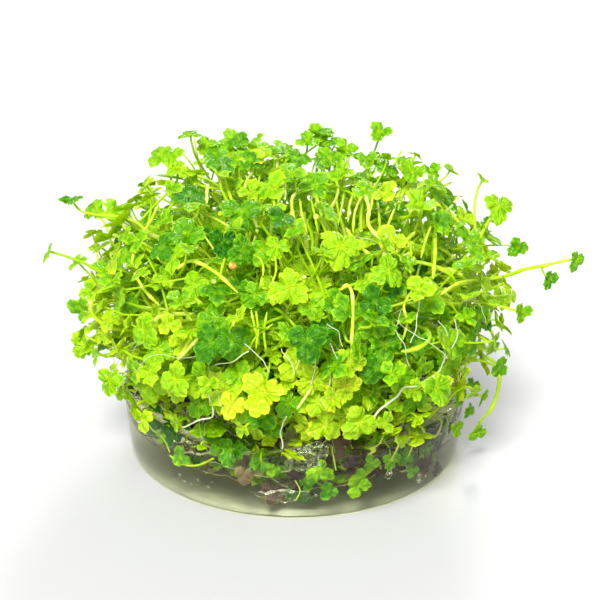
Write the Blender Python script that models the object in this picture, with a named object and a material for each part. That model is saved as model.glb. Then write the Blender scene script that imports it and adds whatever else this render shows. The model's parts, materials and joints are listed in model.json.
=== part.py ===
# A portion of three-lobed water pennywort, grown in a cup and turned out of it with its gel.
# A clear puck of gel holds the roots, a dense cushion of leaves stands on it, and single
# leaves and creeping stems reach out of the cushion. Metres, +Z up, the gel's flat base at Z 0.

import math
import random

import bmesh
import bpy
from mathutils import Vector, noise
from mathutils.bvhtree import BVHTree

MM = 0.001

# Gel: a low tapered puck with a rounded foot and a hollow for the roots
GEL_FOOT_RADIUS = 43.3 * MM
GEL_RADIUS = 46.5 * MM
GEL_TOP_RADIUS = 47.8 * MM
GEL_FOOT_ROUND = 3.2 * MM
GEL_RIM_HEIGHT = 20.5 * MM
GEL_RIM_RAGGED = 1.6 * MM
GEL_RIM_WIDTH = 4.0 * MM
GEL_RIM_FALL = 0.5 * MM
HOLLOW_FOOT_RADIUS = 39.5 * MM
HOLLOW_RAGGED = 1.5 * MM
HOLLOW_FLOOR = 7.0 * MM
HOLLOW_FLOOR_TILT = 2.0 * MM
HOLLOW_DEEP_SIDE = -40.0
RAGGED_RATE = 2.1
RIM_SEED = 1.7
HOLLOW_SEED = 4.2
GEL_SEGMENTS = 40

# What touches stays this far apart
GAP = 0.35 * MM

# Roots: a lumpy mass that fills the hollow and rises over the rim's inner edge
ROOT_WALL_GAP = 3 * GAP
ROOT_FLOOR_GAP = 2 * GAP
ROOT_TOP_INSET = 3.0 * MM
ROOT_LUMPS = 3.0 * MM
ROOT_LUMP_RATE = 5.0
ROOT_LUMP_RISE = 9.0
ROOT_RING_SHARES = (0.35, 0.7)

# Cushion of leaves: a dome wider than the gel, flat underneath, with leaves that stand out of it
CUSHION_FLOOR = 24.0 * MM
CUSHION_MIDDLE = 42.0 * MM
CUSHION_REACH = 48.0 * MM
CUSHION_RISE = 28.0 * MM
CUSHION_DROP = 18.5 * MM
DOME_POWER = 2.6
SKIRT_POWER = 4.0
CUSHION_DETAIL = 3
LUMP_SHARE = 0.07
LUMP_SIZE = 17.0 * MM
FUSED_LEAF_SPACING = 10.4 * MM
FUSED_LEAF_TRIES = 4000
FUSED_LEAF_LOWEST = -0.3
FUSED_LEAF_WIDTHS = (10.5 * MM, 14.0 * MM)
FUSED_LEAF_PROUD = 6.0 * MM
FUSED_LEAF_LIFT = 0.5
FUSED_LEAF_TILTS = (6.0, 26.0)
FUSED_LEAF_DEPTH = 11.5 * MM
CLEAR_OF_STEM = 6.0 * MM
BESIDE_STEM = 2.4 * MM
CUSHION_SEED = 11

# Single leaves and creeping stems
BLADE_THICKNESS = 0.8 * MM
BLADE_CUP = 0.12
STALK_RADIUS = 0.55 * MM
STALK_SIDES = 4
STEM_RADIUS = 0.85 * MM
TIP_STALK_LENGTH = 3.0 * MM
TIP_STALK_RISE = 2.0 * MM
ARCH_STEPS = 9
ARCH_PULL = 4 / 3
STALK_STEPS = 3
STALK_PULL = 0.4
STALK_AIM_SHARE = 0.3
LOBE_COUNT = 3
LOBE_SPACING = 112.0
LOBE_ANGLES = (-40.0, -15.0, 15.0, 40.0)
LOBE_RADII = (0.84, 1.0, 1.0, 0.84)
PLAIN_LOBE_ANGLES = (-34.0, 0.0, 34.0)
PLAIN_LOBE_RADII = (0.9, 1.0, 0.9)
NOTCH_RADIUS = 0.42
SINUS_RADIUS = 0.2

# Each leaf: azimuth, height and reach of its blade, its width, how far it nods outwards,
# how far it turns about its stalk, how far below the blade its stalk is aimed, and its
# green. Angles are in degrees, with the viewer at azimuth -90, and lengths are in mm.
LEAVES = {
    "leaf_left_high": (-175, 74, 59, 8, 10, 20, 16, "dark"),
    "leaf_left_far": (-169, 62, 66, 7, 70, 0, 10, "mid"),
    "leaf_left_shoulder": (176, 68, 54, 8, 40, 60, 12, "mid"),
    "leaf_left_edge": (-165, 36, 61, 9, 75, 30, -2, "bright"),
    "leaf_left_hanging": (-171, 45, 61, 9, 95, 100, 0, "mid"),
    "leaf_left_lower": (-140, 37, 61, 9, 70, 10, 0, "mid"),
    "leaf_top_left_outer": (161, 81, 39, 9, 35, 15, 12, "mid"),
    "leaf_top_left_tall": (148, 85, 34, 8, 8, 50, 18, "mid"),
    "leaf_top_left_small": (144, 83, 27, 6, 12, 0, 14, "mid"),
    "leaf_top_left_cup": (128, 83, 25, 8, 25, 80, 14, "dark"),
    "leaf_top_middle_left": (113, 81, 15, 9, 12, 30, 12, "dark"),
    "leaf_top_middle_back": (74, 83, 27, 9, 15, 10, 14, "dark"),
    "leaf_top_middle_right": (50, 81, 21, 9, 20, 70, 12, "mid"),
    "leaf_top_right_tall": (45, 84, 34, 8, 10, 40, 18, "dark"),
    "leaf_top_right_bud": (30, 79, 39, 5, 30, 0, 12, "bright"),
    "leaf_right_shoulder": (18, 76, 45, 7, 25, 20, 14, "mid"),
    "leaf_right_shoulder_small": (4, 77, 51, 5, 30, 90, 16, "mid"),
    "leaf_right_shoulder_outer": (-6, 70, 56, 10, 50, 10, 12, "mid"),
    "leaf_right_middle": (-9, 64, 61, 7, 75, 40, 6, "dark"),
    "leaf_right_low": (-19, 48, 65, 7, 80, 20, 4, "mid"),
    "leaf_right_lowest": (-25, 34, 62, 7, 85, 70, -2, "dark"),
    "leaf_right_fallen": (-12, 19, 53, 7, 105, 30, -8, "mid"),
    "leaf_front_crinkled": (-74, 73, 41, 13, 45, 25, 12, "bright"),
    "leaf_front_bright": (-91, 67, 51, 12, 50, 60, 10, "bright"),
    "leaf_front_dark": (-87, 57, 60, 12, 65, 0, 6, "dark"),
    "leaf_front_left": (-109, 55, 60, 12, 60, 35, 6, "dark"),
    "leaf_front_right": (-62, 68, 49, 10, 50, 80, 10, "mid"),
    "leaf_front_yellow": (-97, 44, 61, 12, 75, 15, 0, "bright"),
    "leaf_front_round": (-75, 35, 61, 11, 80, 45, -4, "bright"),
    "leaf_front_left_low": (-118, 44, 61, 11, 72, 70, 0, "bright"),
    "leaf_front_right_low": (-55, 40, 61, 9, 75, 5, 0, "mid"),
    "leaf_front_left_high": (-136, 70, 46, 9, 45, 50, 12, "dark"),
    "leaf_back_right": (28, 52, 62, 11, 65, 0, 4, "mid"),
    "leaf_back_right_high": (62, 70, 50, 10, 45, 30, 10, "dark"),
    "leaf_back_middle": (92, 58, 60, 11, 60, 60, 6, "bright"),
    "leaf_back_low": (76, 37, 61, 10, 78, 20, 0, "bright"),
    "leaf_back_left": (131, 48, 62, 11, 65, 80, 2, "mid"),
    "leaf_back_left_high": (112, 74, 44, 9, 40, 45, 12, "dark"),
    "leaf_back_left_far": (158, 62, 63, 8, 60, 10, 8, "mid"),
}

# Creeping stems that leave the cushion: azimuth, height and reach of each point
REACHING_STEMS = {
    "stem_right_long": [(-13, 55, 57), (-15, 58, 62), (-16, 60, 68), (-15, 61, 73)],
    "stem_right_hanging": [
        (-16, 33, 52), (-16, 30, 57), (-17, 24, 57.5), (-17, 18, 56), (-16, 13, 53),
    ],
    "stem_back_long": [(100, 52, 58), (104, 55, 62), (107, 58, 67)],
}

# Leaves at the end of a reaching stem: its stem, width, nod and turn
STEM_TIP_LEAVES = {
    "leaf_right_far": ("stem_right_long", 7, 80, 30),
    "leaf_right_bottom": ("stem_right_hanging", 7, 95, 50),
    "leaf_back_far": ("stem_back_long", 8, 70, 0),
}

# Creeping stems that arch over the cushion: azimuth and height of both ends, and the rise
ARCHING_STEMS = {
    "stem_front_left_arch": (-127, 60, -106, 54, 8),
    "stem_right_arch": (-44, 64, -30, 54, 8),
    "stem_front_right_arch": (-66, 47, -47, 50, 10),
    "stem_back_arch": (42, 57, 60, 51, 10),
    "stem_left_arch": (-162, 54, -152, 43, 11),
}

COLOURS = {
    "gel": (0.62, 0.66, 0.42, 0.05),
    "roots": (0.33, 0.27, 0.12, 0.6),
    "cushion": (0.20, 0.44, 0.03, 0.5),
    "leaf_dark": (0.06, 0.26, 0.03, 0.4),
    "leaf_mid": (0.20, 0.50, 0.03, 0.45),
    "leaf_bright": (0.42, 0.68, 0.04, 0.45),
    "stem": (0.55, 0.70, 0.18, 0.45),
}


def clear_scene():
    for obj in list(bpy.data.objects):
        bpy.data.objects.remove(obj)


def material(name):
    mat = bpy.data.materials.get(name)
    if mat is None:
        red, green, blue, roughness = COLOURS[name]
        mat = bpy.data.materials.new(name)
        mat.use_nodes = True
        shader = mat.node_tree.nodes["Principled BSDF"]
        shader.inputs["Base Color"].default_value = (red, green, blue, 1.0)
        shader.inputs["Roughness"].default_value = roughness
        if name == "gel":
            shader.inputs["Transmission Weight"].default_value = 1.0
            shader.inputs["IOR"].default_value = 1.34
    return mat


def add_object(name, bm, finish):
    bmesh.ops.recalc_face_normals(bm, faces=bm.faces)
    mesh = bpy.data.meshes.new(name)
    bm.to_mesh(mesh)
    bm.free()
    mesh.materials.append(material(finish))
    obj = bpy.data.objects.new(name, mesh)
    bpy.context.scene.collection.objects.link(obj)
    return obj


def outward(azimuth):
    return Vector((math.cos(azimuth), math.sin(azimuth), 0.0))


def place(azimuth_deg, height_mm, reach_mm):
    point = outward(math.radians(azimuth_deg)) * reach_mm * MM
    point.z = height_mm * MM
    return point


# Gel and the roots in it are turned shapes whose rings wander a little with the angle

def around(azimuth, rate, height):
    # A smooth random number between about -1 and 1 that closes on itself after one turn
    return noise.noise(Vector((rate * math.cos(azimuth), rate * math.sin(azimuth), height)))


def rim_height(azimuth):
    return GEL_RIM_HEIGHT + 2 * GEL_RIM_RAGGED * around(azimuth, RAGGED_RATE, RIM_SEED)


def rim_inner_edge(azimuth):
    return GEL_TOP_RADIUS - GEL_RIM_WIDTH, rim_height(azimuth) - GEL_RIM_FALL


def hollow_foot_radius(azimuth):
    return HOLLOW_FOOT_RADIUS + 2 * HOLLOW_RAGGED * around(azimuth, RAGGED_RATE, HOLLOW_SEED)


def hollow_floor(azimuth):
    deep = math.cos(azimuth - math.radians(HOLLOW_DEEP_SIDE))
    return HOLLOW_FLOOR - HOLLOW_FLOOR_TILT * deep


def root_side(azimuth, share):
    # A lumpy side of the roots, this share of the way up the hollow's wall
    low = hollow_foot_radius(azimuth)
    radius = low + (GEL_TOP_RADIUS - GEL_RIM_WIDTH - low) * share - ROOT_WALL_GAP
    lump = around(azimuth, ROOT_LUMP_RATE, ROOT_LUMP_RISE * share)
    height = hollow_floor(azimuth) * (1 - share) + rim_height(azimuth) * share
    return radius - ROOT_LUMPS * (0.5 + lump), height


def turned(rings, first_height, last_height):
    # Each ring is a function from azimuth to (radius, height), from the bottom up
    bm = bmesh.new()
    loops = []
    for ring in rings:
        loop = []
        for i in range(GEL_SEGMENTS):
            azimuth = 2 * math.pi * i / GEL_SEGMENTS
            radius, height = ring(azimuth)
            point = outward(azimuth) * radius
            point.z = height
            loop.append(bm.verts.new(point))
        loops.append(loop)
    for lower, upper in zip(loops, loops[1:]):
        for i in range(GEL_SEGMENTS):
            j = (i + 1) % GEL_SEGMENTS
            bm.faces.new((lower[i], lower[j], upper[j], upper[i]))
    for loop, height in ((loops[0], first_height), (loops[-1], last_height)):
        centre = bm.verts.new((0.0, 0.0, height))
        for i in range(GEL_SEGMENTS):
            bm.faces.new((centre, loop[i], loop[(i + 1) % GEL_SEGMENTS]))
    return bm


def make_gel():
    lean = math.sin(math.radians(45))
    rings = (
        lambda a: (GEL_FOOT_RADIUS, 0.0),
        lambda a: (
            GEL_FOOT_RADIUS + (GEL_RADIUS - GEL_FOOT_RADIUS) * lean,
            GEL_FOOT_ROUND * (1 - lean),
        ),
        lambda a: (GEL_RADIUS, GEL_FOOT_ROUND),
        lambda a: (GEL_TOP_RADIUS, rim_height(a)),
        rim_inner_edge,
        lambda a: (hollow_foot_radius(a), hollow_floor(a)),
    )
    return add_object("gel", turned(rings, 0.0, HOLLOW_FLOOR), "gel")


def make_roots():
    top = CUSHION_FLOOR - GAP
    rings = (
        lambda a: (hollow_foot_radius(a) - ROOT_WALL_GAP, hollow_floor(a) + ROOT_FLOOR_GAP),
        lambda a: root_side(a, ROOT_RING_SHARES[0]),
        lambda a: root_side(a, ROOT_RING_SHARES[1]),
        lambda a: (rim_inner_edge(a)[0] - ROOT_WALL_GAP, rim_inner_edge(a)[1]),
        lambda a: (rim_inner_edge(a)[0] - ROOT_TOP_INSET, top),
    )
    return add_object("roots", turned(rings, HOLLOW_FLOOR + ROOT_FLOOR_GAP, top), "roots")


# Leaves

def blade_outline(angles=LOBE_ANGLES, radii=LOBE_RADII):
    # Unit outline of a blade with three lobes, the middle lobe along +X
    points = []
    for lobe in range(LOBE_COUNT):
        middle = (lobe - 1) * LOBE_SPACING
        for angle, radius in zip(angles, radii):
            points.append((math.radians(middle + angle), radius))
        last = lobe == LOBE_COUNT - 1
        notch = math.pi if last else math.radians(middle + LOBE_SPACING / 2)
        points.append((notch, SINUS_RADIUS if last else NOTCH_RADIUS))
    return [Vector((r * math.cos(a), r * math.sin(a), 0.0)) for a, r in points]


def blade_axes(normal, turn_deg):
    side = normal.cross(Vector((0.0, 0.0, 1.0)))
    if side.length < 1e-3:
        side = Vector((1.0, 0.0, 0.0))
    side.normalize()
    ahead = normal.cross(side)
    turn = math.radians(turn_deg)
    along = ahead * math.cos(turn) + side * math.sin(turn)
    return along, normal.cross(along)


def rim_of_blade(bm, centre, normal, turn_deg, width, outline, cup=0.0):
    # The edge of a blade, which lifts above the blade's middle where the blade is cupped
    along, across = blade_axes(normal, turn_deg)
    rim = []
    for point in outline:
        flat = (along * point.x + across * point.y) * width / 2
        lift = normal * cup * width / 2 * point.length_squared
        rim.append(bm.verts.new(centre + flat + lift))
    return rim


def fan(bm, centre, rim):
    top = bm.verts.new(centre)
    for i, vert in enumerate(rim):
        bm.faces.new((top, vert, rim[(i + 1) % len(rim)]))


def bezier(start, start_pull, end, end_pull, share):
    a, b, c, d = start, start + start_pull, end - end_pull, end
    rest = 1 - share
    return a * rest**3 + 3 * b * share * rest**2 + 3 * c * share**2 * rest + d * share**3


def swept_rings(bm, points, radius, sides):
    # Rings of a tube along the points, carried along without twisting
    loops = []
    side = None
    for i, point in enumerate(points):
        ahead = points[min(i + 1, len(points) - 1)] - points[max(i - 1, 0)]
        ahead.normalize()
        if side is None:
            side = ahead.orthogonal()
        side = (side - ahead * side.dot(ahead)).normalized()
        other = ahead.cross(side)
        loop = []
        for k in range(sides):
            turn = 2 * math.pi * k / sides
            spoke = side * math.cos(turn) + other * math.sin(turn)
            loop.append(bm.verts.new(point + spoke * radius))
        loops.append(loop)
    for first, second in zip(loops, loops[1:]):
        for k in range(sides):
            m = (k + 1) % sides
            bm.faces.new((first[k], first[m], second[m], second[k]))
    return loops


def make_leaf(name, root, root_way, centre, normal, width, turn_deg, tone, steps=STALK_STEPS):
    # A stalk from its root to the middle of the blade, and the blade, in one closed mesh
    bm = bmesh.new()
    under = centre - normal * BLADE_THICKNESS
    pull = (under - root).length * STALK_PULL
    points = [
        bezier(root, root_way * pull, under, normal * pull, i / steps)
        for i in range(steps + 1)
    ]
    loops = swept_rings(bm, points, STALK_RADIUS, STALK_SIDES)
    bm.faces.new(loops[0])
    rim = rim_of_blade(bm, centre, normal, turn_deg, width, blade_outline(), BLADE_CUP)
    fan(bm, centre, rim)
    edges = []
    for loop in (rim, loops[-1]):
        for i, vert in enumerate(loop):
            edges.append(bm.edges.get((vert, loop[(i + 1) % len(loop)])))
    bmesh.ops.bridge_loops(bm, edges=edges)
    return add_object(name, bm, "leaf_" + tone)


# Cushion

def cushion_radius(direction):
    # Distance from the cushion's middle to its smooth surface, in a unit direction
    level = math.hypot(direction.x, direction.y)
    if direction.z >= 0:
        power, half_height = DOME_POWER, CUSHION_RISE
    else:
        power, half_height = SKIRT_POWER, CUSHION_DROP
    shares = (level / CUSHION_REACH) ** power
    shares += (abs(direction.z) / half_height) ** power
    return shares ** (-1 / power)


def cushion_point(direction):
    point = direction * cushion_radius(direction)
    lump = noise.noise(point / LUMP_SIZE)
    point *= 1 + LUMP_SHARE * lump * min(1.0, 1.0 + 2.0 * direction.z)
    point.z = max(point.z + CUSHION_MIDDLE, CUSHION_FLOOR)
    return point


def spread_seats(draw, spots):
    # Random points on the cushion that keep their distance from one another, each with its
    # distance from the nearest stem
    seats = []
    for _ in range(FUSED_LEAF_TRIES):
        azimuth = draw.uniform(0, 2 * math.pi)
        direction = outward(azimuth)
        direction.z = math.tan(math.asin(draw.uniform(FUSED_LEAF_LOWEST, 1.0)))
        seat = cushion_point(direction.normalized())
        if any((seat - other).length < FUSED_LEAF_SPACING for other, _ in seats):
            continue
        room = min((seat - spot).length for spot in spots)
        if room > CLEAR_OF_STEM:
            seats.append((seat, room))
    return seats


def smooth_spot(azimuth_deg, height_mm):
    # The spot on the smooth dome at this azimuth and height
    height = height_mm * MM - CUSHION_MIDDLE
    if height >= 0:
        power, half_height = DOME_POWER, CUSHION_RISE
    else:
        power, half_height = SKIRT_POWER, CUSHION_DROP
    share = max(0.0, 1 - (abs(height) / half_height) ** power)
    point = outward(math.radians(azimuth_deg)) * CUSHION_REACH * share ** (1 / power)
    point.z = height + CUSHION_MIDDLE
    return point


def kept_clear():
    # Spots on the dome where a creeping stem comes out
    spots = []
    for azimuth_1, height_1, azimuth_2, height_2, rise in ARCHING_STEMS.values():
        spots.append(smooth_spot(azimuth_1, height_1))
        spots.append(smooth_spot(azimuth_2, height_2))
    for points in REACHING_STEMS.values():
        azimuth, height, reach = points[0]
        spots.append(smooth_spot(azimuth, height))
    return spots


def add_fused_leaf(bm, centre, normal, inward, turn_deg, width):
    # A leaf facing along the normal, closed below by a point sunk in the cushion
    outline = blade_outline(PLAIN_LOBE_ANGLES, PLAIN_LOBE_RADII)
    rim = rim_of_blade(bm, centre, normal, turn_deg, width, outline)
    fan(bm, centre, rim)
    fan(bm, centre + inward * FUSED_LEAF_DEPTH, rim)


def make_cushion():
    bm = bmesh.new()
    bmesh.ops.create_icosphere(bm, subdivisions=CUSHION_DETAIL, radius=1.0)
    for vert in bm.verts:
        vert.co = cushion_point(vert.co.normalized())
    cushion = add_object("leaf_cushion", bm, "cushion")

    draw = random.Random(CUSHION_SEED)
    plates = bmesh.new()
    middle = Vector((0.0, 0.0, CUSHION_MIDDLE))
    for seat, room in spread_seats(draw, kept_clear()):
        width = min(draw.uniform(*FUSED_LEAF_WIDTHS), 2 * (room - BESIDE_STEM))
        tilt = math.tan(math.radians(draw.uniform(*FUSED_LEAF_TILTS)))
        tilt_way = Vector([draw.gauss(0, 1) for _ in range(3)])
        away = (seat - middle).normalized()
        facing = (away + Vector((0.0, 0.0, FUSED_LEAF_LIFT))).normalized()
        tilt_way -= facing * tilt_way.dot(facing)
        normal = (facing + tilt_way.normalized() * tilt).normalized()
        centre = seat + away * FUSED_LEAF_PROUD
        add_fused_leaf(plates, centre, normal, -away, draw.uniform(0, 360), width)
    helper = add_object("fused_leaves", plates, "cushion")
    helper.hide_render = True
    helper.display_type = "WIRE"

    fuse = cushion.modifiers.new("fuse leaves", "BOOLEAN")
    fuse.operation = "UNION"
    fuse.solver = "EXACT"
    fuse.use_self = True
    fuse.object = helper
    return cushion


def surface_tree(obj):
    bpy.context.view_layer.update()
    return BVHTree.FromObject(obj, bpy.context.evaluated_depsgraph_get())


def rooted_at(tree, start, target):
    # Where a line from start to target meets the cushion, a gap above it, and its normal
    spot, normal, _, _ = tree.ray_cast(start, (target - start).normalized())
    return spot + normal * GAP, normal


def make_leaves(tree):
    for name, (azimuth, height, reach, width, nod, turn, drop, tone) in LEAVES.items():
        centre = place(azimuth, height, reach)
        lean = math.radians(nod)
        normal = outward(math.radians(azimuth)) * math.sin(lean)
        normal.z = math.cos(lean)
        target = outward(math.radians(azimuth)) * reach * STALK_AIM_SHARE * MM
        target.z = CUSHION_MIDDLE if drop < 0 else (height - drop) * MM
        root, root_way = rooted_at(tree, centre, target)
        make_leaf(name, root, root_way, centre, normal, width * MM, turn, tone)


def make_stem(name, points, radius=STEM_RADIUS):
    curve = bpy.data.curves.new(name, "CURVE")
    curve.dimensions = "3D"
    curve.bevel_depth = radius
    curve.bevel_resolution = 1
    curve.use_fill_caps = True
    spline = curve.splines.new("POLY")
    spline.points.add(len(points) - 1)
    for spot, point in zip(spline.points, points):
        spot.co = (*point, 1.0)
    curve.materials.append(material("stem"))
    obj = bpy.data.objects.new(name, curve)
    bpy.context.scene.collection.objects.link(obj)
    return obj


def make_stems(tree):
    ends = {}
    for name, places in REACHING_STEMS.items():
        first, *others = [place(*spot) for spot in places]
        inside = Vector((0.0, 0.0, first.z))
        root, _ = rooted_at(tree, others[0], inside)
        points = [root + (others[0] - root).normalized() * GAP, *others]
        make_stem(name, points)
        ends[name] = (points[-1], (points[-1] - points[-2]).normalized())
    for name, (stem, width, nod, turn) in STEM_TIP_LEAVES.items():
        tip, ahead = ends[stem]
        root = tip + ahead * GAP
        lean = math.radians(nod)
        normal = Vector((tip.x, tip.y, 0.0)).normalized() * math.sin(lean)
        normal.z = math.cos(lean)
        centre = root + (ahead * TIP_STALK_LENGTH + normal * TIP_STALK_RISE)
        make_leaf(name, root, ahead, centre, normal, width * MM, turn, "mid", steps=2)
    for name, (azimuth_1, height_1, azimuth_2, height_2, rise) in ARCHING_STEMS.items():
        middle = Vector((0.0, 0.0, CUSHION_MIDDLE))
        roots = []
        for azimuth, height in ((azimuth_1, height_1), (azimuth_2, height_2)):
            above = smooth_spot(azimuth, height)
            above += (above - middle).normalized() * rise * MM
            roots.append(rooted_at(tree, above, middle))
        (start, start_way), (end, end_way) = roots
        pull = rise * MM * ARCH_PULL
        points = [
            bezier(start, start_way * pull, end, end_way * -pull, i / ARCH_STEPS)
            for i in range(ARCH_STEPS + 1)
        ]
        make_stem(name, points)


def main():
    clear_scene()
    make_gel()
    make_roots()
    tree = surface_tree(make_cushion())
    make_leaves(tree)
    make_stems(tree)


main()
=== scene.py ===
import json
import math
import random

import bpy
import numpy as np
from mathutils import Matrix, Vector, noise


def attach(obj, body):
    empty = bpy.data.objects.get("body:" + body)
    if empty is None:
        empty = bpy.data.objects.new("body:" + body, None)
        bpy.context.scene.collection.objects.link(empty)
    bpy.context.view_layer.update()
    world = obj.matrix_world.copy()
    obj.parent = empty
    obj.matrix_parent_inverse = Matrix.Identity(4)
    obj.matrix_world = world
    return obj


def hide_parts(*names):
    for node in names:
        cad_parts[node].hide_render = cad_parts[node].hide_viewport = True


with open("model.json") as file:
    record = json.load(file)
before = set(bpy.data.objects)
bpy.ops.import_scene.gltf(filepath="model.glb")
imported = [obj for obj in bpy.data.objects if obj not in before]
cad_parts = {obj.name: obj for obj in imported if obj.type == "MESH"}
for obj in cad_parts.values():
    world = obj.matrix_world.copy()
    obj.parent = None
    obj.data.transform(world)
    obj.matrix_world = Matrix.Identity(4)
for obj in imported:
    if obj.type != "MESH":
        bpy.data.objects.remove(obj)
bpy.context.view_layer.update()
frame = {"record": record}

mm = 0.001
up = Vector((0.0, 0.0, 1.0))
toViewer = -90.0  # azimuth of the side that the photo shows
noise.seed_set(8)  # noise_vector would differ from run to run without it

# camera, light and floor

view = {
    "target": Vector((1.5, 0.0, 43.0)) * mm,
    "distance": 420 * mm,
    "elevation": 22.0,
    "lens": 91.47,
    "sensor": 36.0,
    "frame": 600,  # pixels across
    "clip": (0.01, 20.0),
}


def deselectAll():
    bpy.ops.object.select_all(action="DESELECT")


def cameraAxes():
    lift = math.radians(view["elevation"])
    back = Vector((0.0, -math.cos(lift), math.sin(lift)))
    high = Vector((0.0, math.sin(lift), math.cos(lift)))
    return view["target"] + back * view["distance"], Vector((1, 0, 0)), high, back


def pixelRay(px, py):
    eye, side, high, back = cameraAxes()
    focal = view["lens"] / view["sensor"] * view["frame"]
    half = view["frame"] / 2
    return eye, (side * (px - half) + high * (half - py) - back * focal).normalized()


def addCamera():
    bpy.ops.object.camera_add(
        location=cameraAxes()[0], rotation=(math.radians(90 - view["elevation"]), 0, 0))
    camera = bpy.context.object
    camera.name = "photoCamera"
    camera.data.lens = view["lens"]
    camera.data.sensor_width = view["sensor"]
    camera.data.clip_start, camera.data.clip_end = view["clip"]
    bpy.context.scene.camera = camera


light = {
    "sky": (1.0, 1.0, 1.0, 1.0),
    "sky strength": 0.56,
    # azimuth and height of each lamp in degrees, how wide it looks and its strength
    "lamps": {
        "keyLight": (-105, 52, 20, 4.7),
        "glintLight": (80, 32, 14, 1.5),
        "fillLight": (-122, 18, 55, 0.9),
    },
}


def addLights():
    world = bpy.data.worlds.new("paleStudio")
    world.use_nodes = True
    background = world.node_tree.nodes["Background"]
    background.inputs["Color"].default_value = light["sky"]
    background.inputs["Strength"].default_value = light["sky strength"]
    bpy.context.scene.world = world
    for name, (azimuth, height, width, strength) in light["lamps"].items():
        turn = (math.radians(90 - height), 0, math.radians(azimuth + 90))
        bpy.ops.object.light_add(type="SUN", rotation=turn)
        lamp = bpy.context.object
        lamp.name = name
        lamp.data.angle = math.radians(width)
        lamp.data.energy = strength
    bpy.context.scene.view_settings.view_transform = "Standard"


floorFinish = {
    "size": 8.0,
    "height": 0.02 * mm,  # wet contact with the gel
    "colour": (0.514, 0.510, 0.512, 1.0),
    "roughness": 0.55,
    "specular": 0.2,
}


def addFloor():
    deselectAll()
    bpy.ops.mesh.primitive_plane_add(
        size=floorFinish["size"], location=(0, 0, floorFinish["height"]))
    floor = bpy.context.object
    floor.name = "studioFloor"
    finish = bpy.data.materials.new("paleFloor")
    finish.use_nodes = True
    shader = finish.node_tree.nodes["Principled BSDF"]
    shader.inputs["Base Color"].default_value = floorFinish["colour"]
    shader.inputs["Roughness"].default_value = floorFinish["roughness"]
    shader.inputs["Specular IOR Level"].default_value = floorFinish["specular"]
    floor.data.materials.append(finish)


addCamera()
addLights()
addFloor()
print("camera, light and floor are set")

# materials


class Mixing:
    # a new material with short ways to add nodes to it
    def __init__(self, name):
        self.finish = bpy.data.materials.new(name)
        self.finish.use_nodes = True
        self.nodes = self.finish.node_tree.nodes
        self.links = self.finish.node_tree.links
        self.shader = self.nodes["Principled BSDF"]
        self.output = self.nodes["Material Output"]

    def set(self, name, value):
        self.shader.inputs[name].default_value = value

    def plug(self, socket, name):
        self.links.new(socket, self.shader.inputs[name])

    def maths(self, kind, *values):
        step = self.nodes.new("ShaderNodeMath")
        step.operation = kind
        for socket, value in zip(step.inputs, values):
            if isinstance(value, (int, float)):
                socket.default_value = value
            else:
                self.links.new(value, socket)
        return step.outputs[0]

    def ramp(self, stops, socket):
        ramp = self.nodes.new("ShaderNodeValToRGB")
        elements = ramp.color_ramp.elements
        while len(elements) < len(stops):
            elements.new(0.5)
        for element, (place, colour) in zip(elements, stops):
            element.position = place
            element.color = (*colour, 1.0)
        self.links.new(socket, ramp.inputs[0])
        return ramp.outputs[0]

    def attribute(self, name):
        node = self.nodes.new("ShaderNodeAttribute")
        node.attribute_name = name
        return node.outputs["Fac"]

    def noise(self, scale, detail=3.0):
        # noise in the object's own metres, so a scale of 1000 is a millimetre
        coords = self.nodes.new("ShaderNodeTexCoord")
        node = self.nodes.new("ShaderNodeTexNoise")
        node.inputs["Scale"].default_value = scale
        node.inputs["Detail"].default_value = detail
        self.links.new(coords.outputs["Object"], node.inputs["Vector"])
        return node.outputs["Fac"]

    def bump(self, height, strength, depth):
        node = self.nodes.new("ShaderNodeBump")
        node.inputs["Strength"].default_value = strength
        node.inputs["Distance"].default_value = depth
        self.links.new(height, node.inputs["Height"])
        self.plug(node.outputs[0], "Normal")

    def letThrough(self, colour, share):
        through = self.nodes.new("ShaderNodeBsdfTranslucent")
        both = self.nodes.new("ShaderNodeMixShader")
        both.inputs[0].default_value = share
        self.links.new(colour, through.inputs["Color"])
        self.links.new(self.shader.outputs[0], both.inputs[1])
        self.links.new(through.outputs[0], both.inputs[2])
        self.links.new(both.outputs[0], self.output.inputs["Surface"])


leafFinish = {
    # tint 0 is an old dark leaf, 1 a young yellow one; the lower tints of the deeper layers are
    # painted shade, and the tint added at the rim is partly painted glow
    "greens": [
        (0.00, (0.011, 0.130, 0.003)),
        (0.25, (0.095, 0.365, 0.004)),
        (0.50, (0.305, 0.630, 0.004)),
        (0.75, (0.540, 0.800, 0.012)),
        (1.00, (0.810, 0.905, 0.040)),
    ],
    "glow": [
        (0.00, (0.200, 0.560, 0.001)),
        (0.50, (0.640, 0.920, 0.001)),
        (1.00, (0.960, 0.990, 0.010)),
    ],
    "glow share": 0.42,
    "roughness": 0.19,
    "specular": 0.58,
    "sheen": (0.96, 1.0, 0.58, 1.0),
    "ior": 1.45,
    "vein rays": 7,
    "vein sharpness": 30.0,
    "vein tint": 0.14,
    "vein depth": -0.35,
    "joint size": 9.0,
    "joint tint": 0.35,
    "blotch scale": 800.0,
    "blotches": (0.64, -0.34),
    "dent scale": 420.0,
    "dents": 2.6,
    "relief": 0.8 * mm,
}


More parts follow.
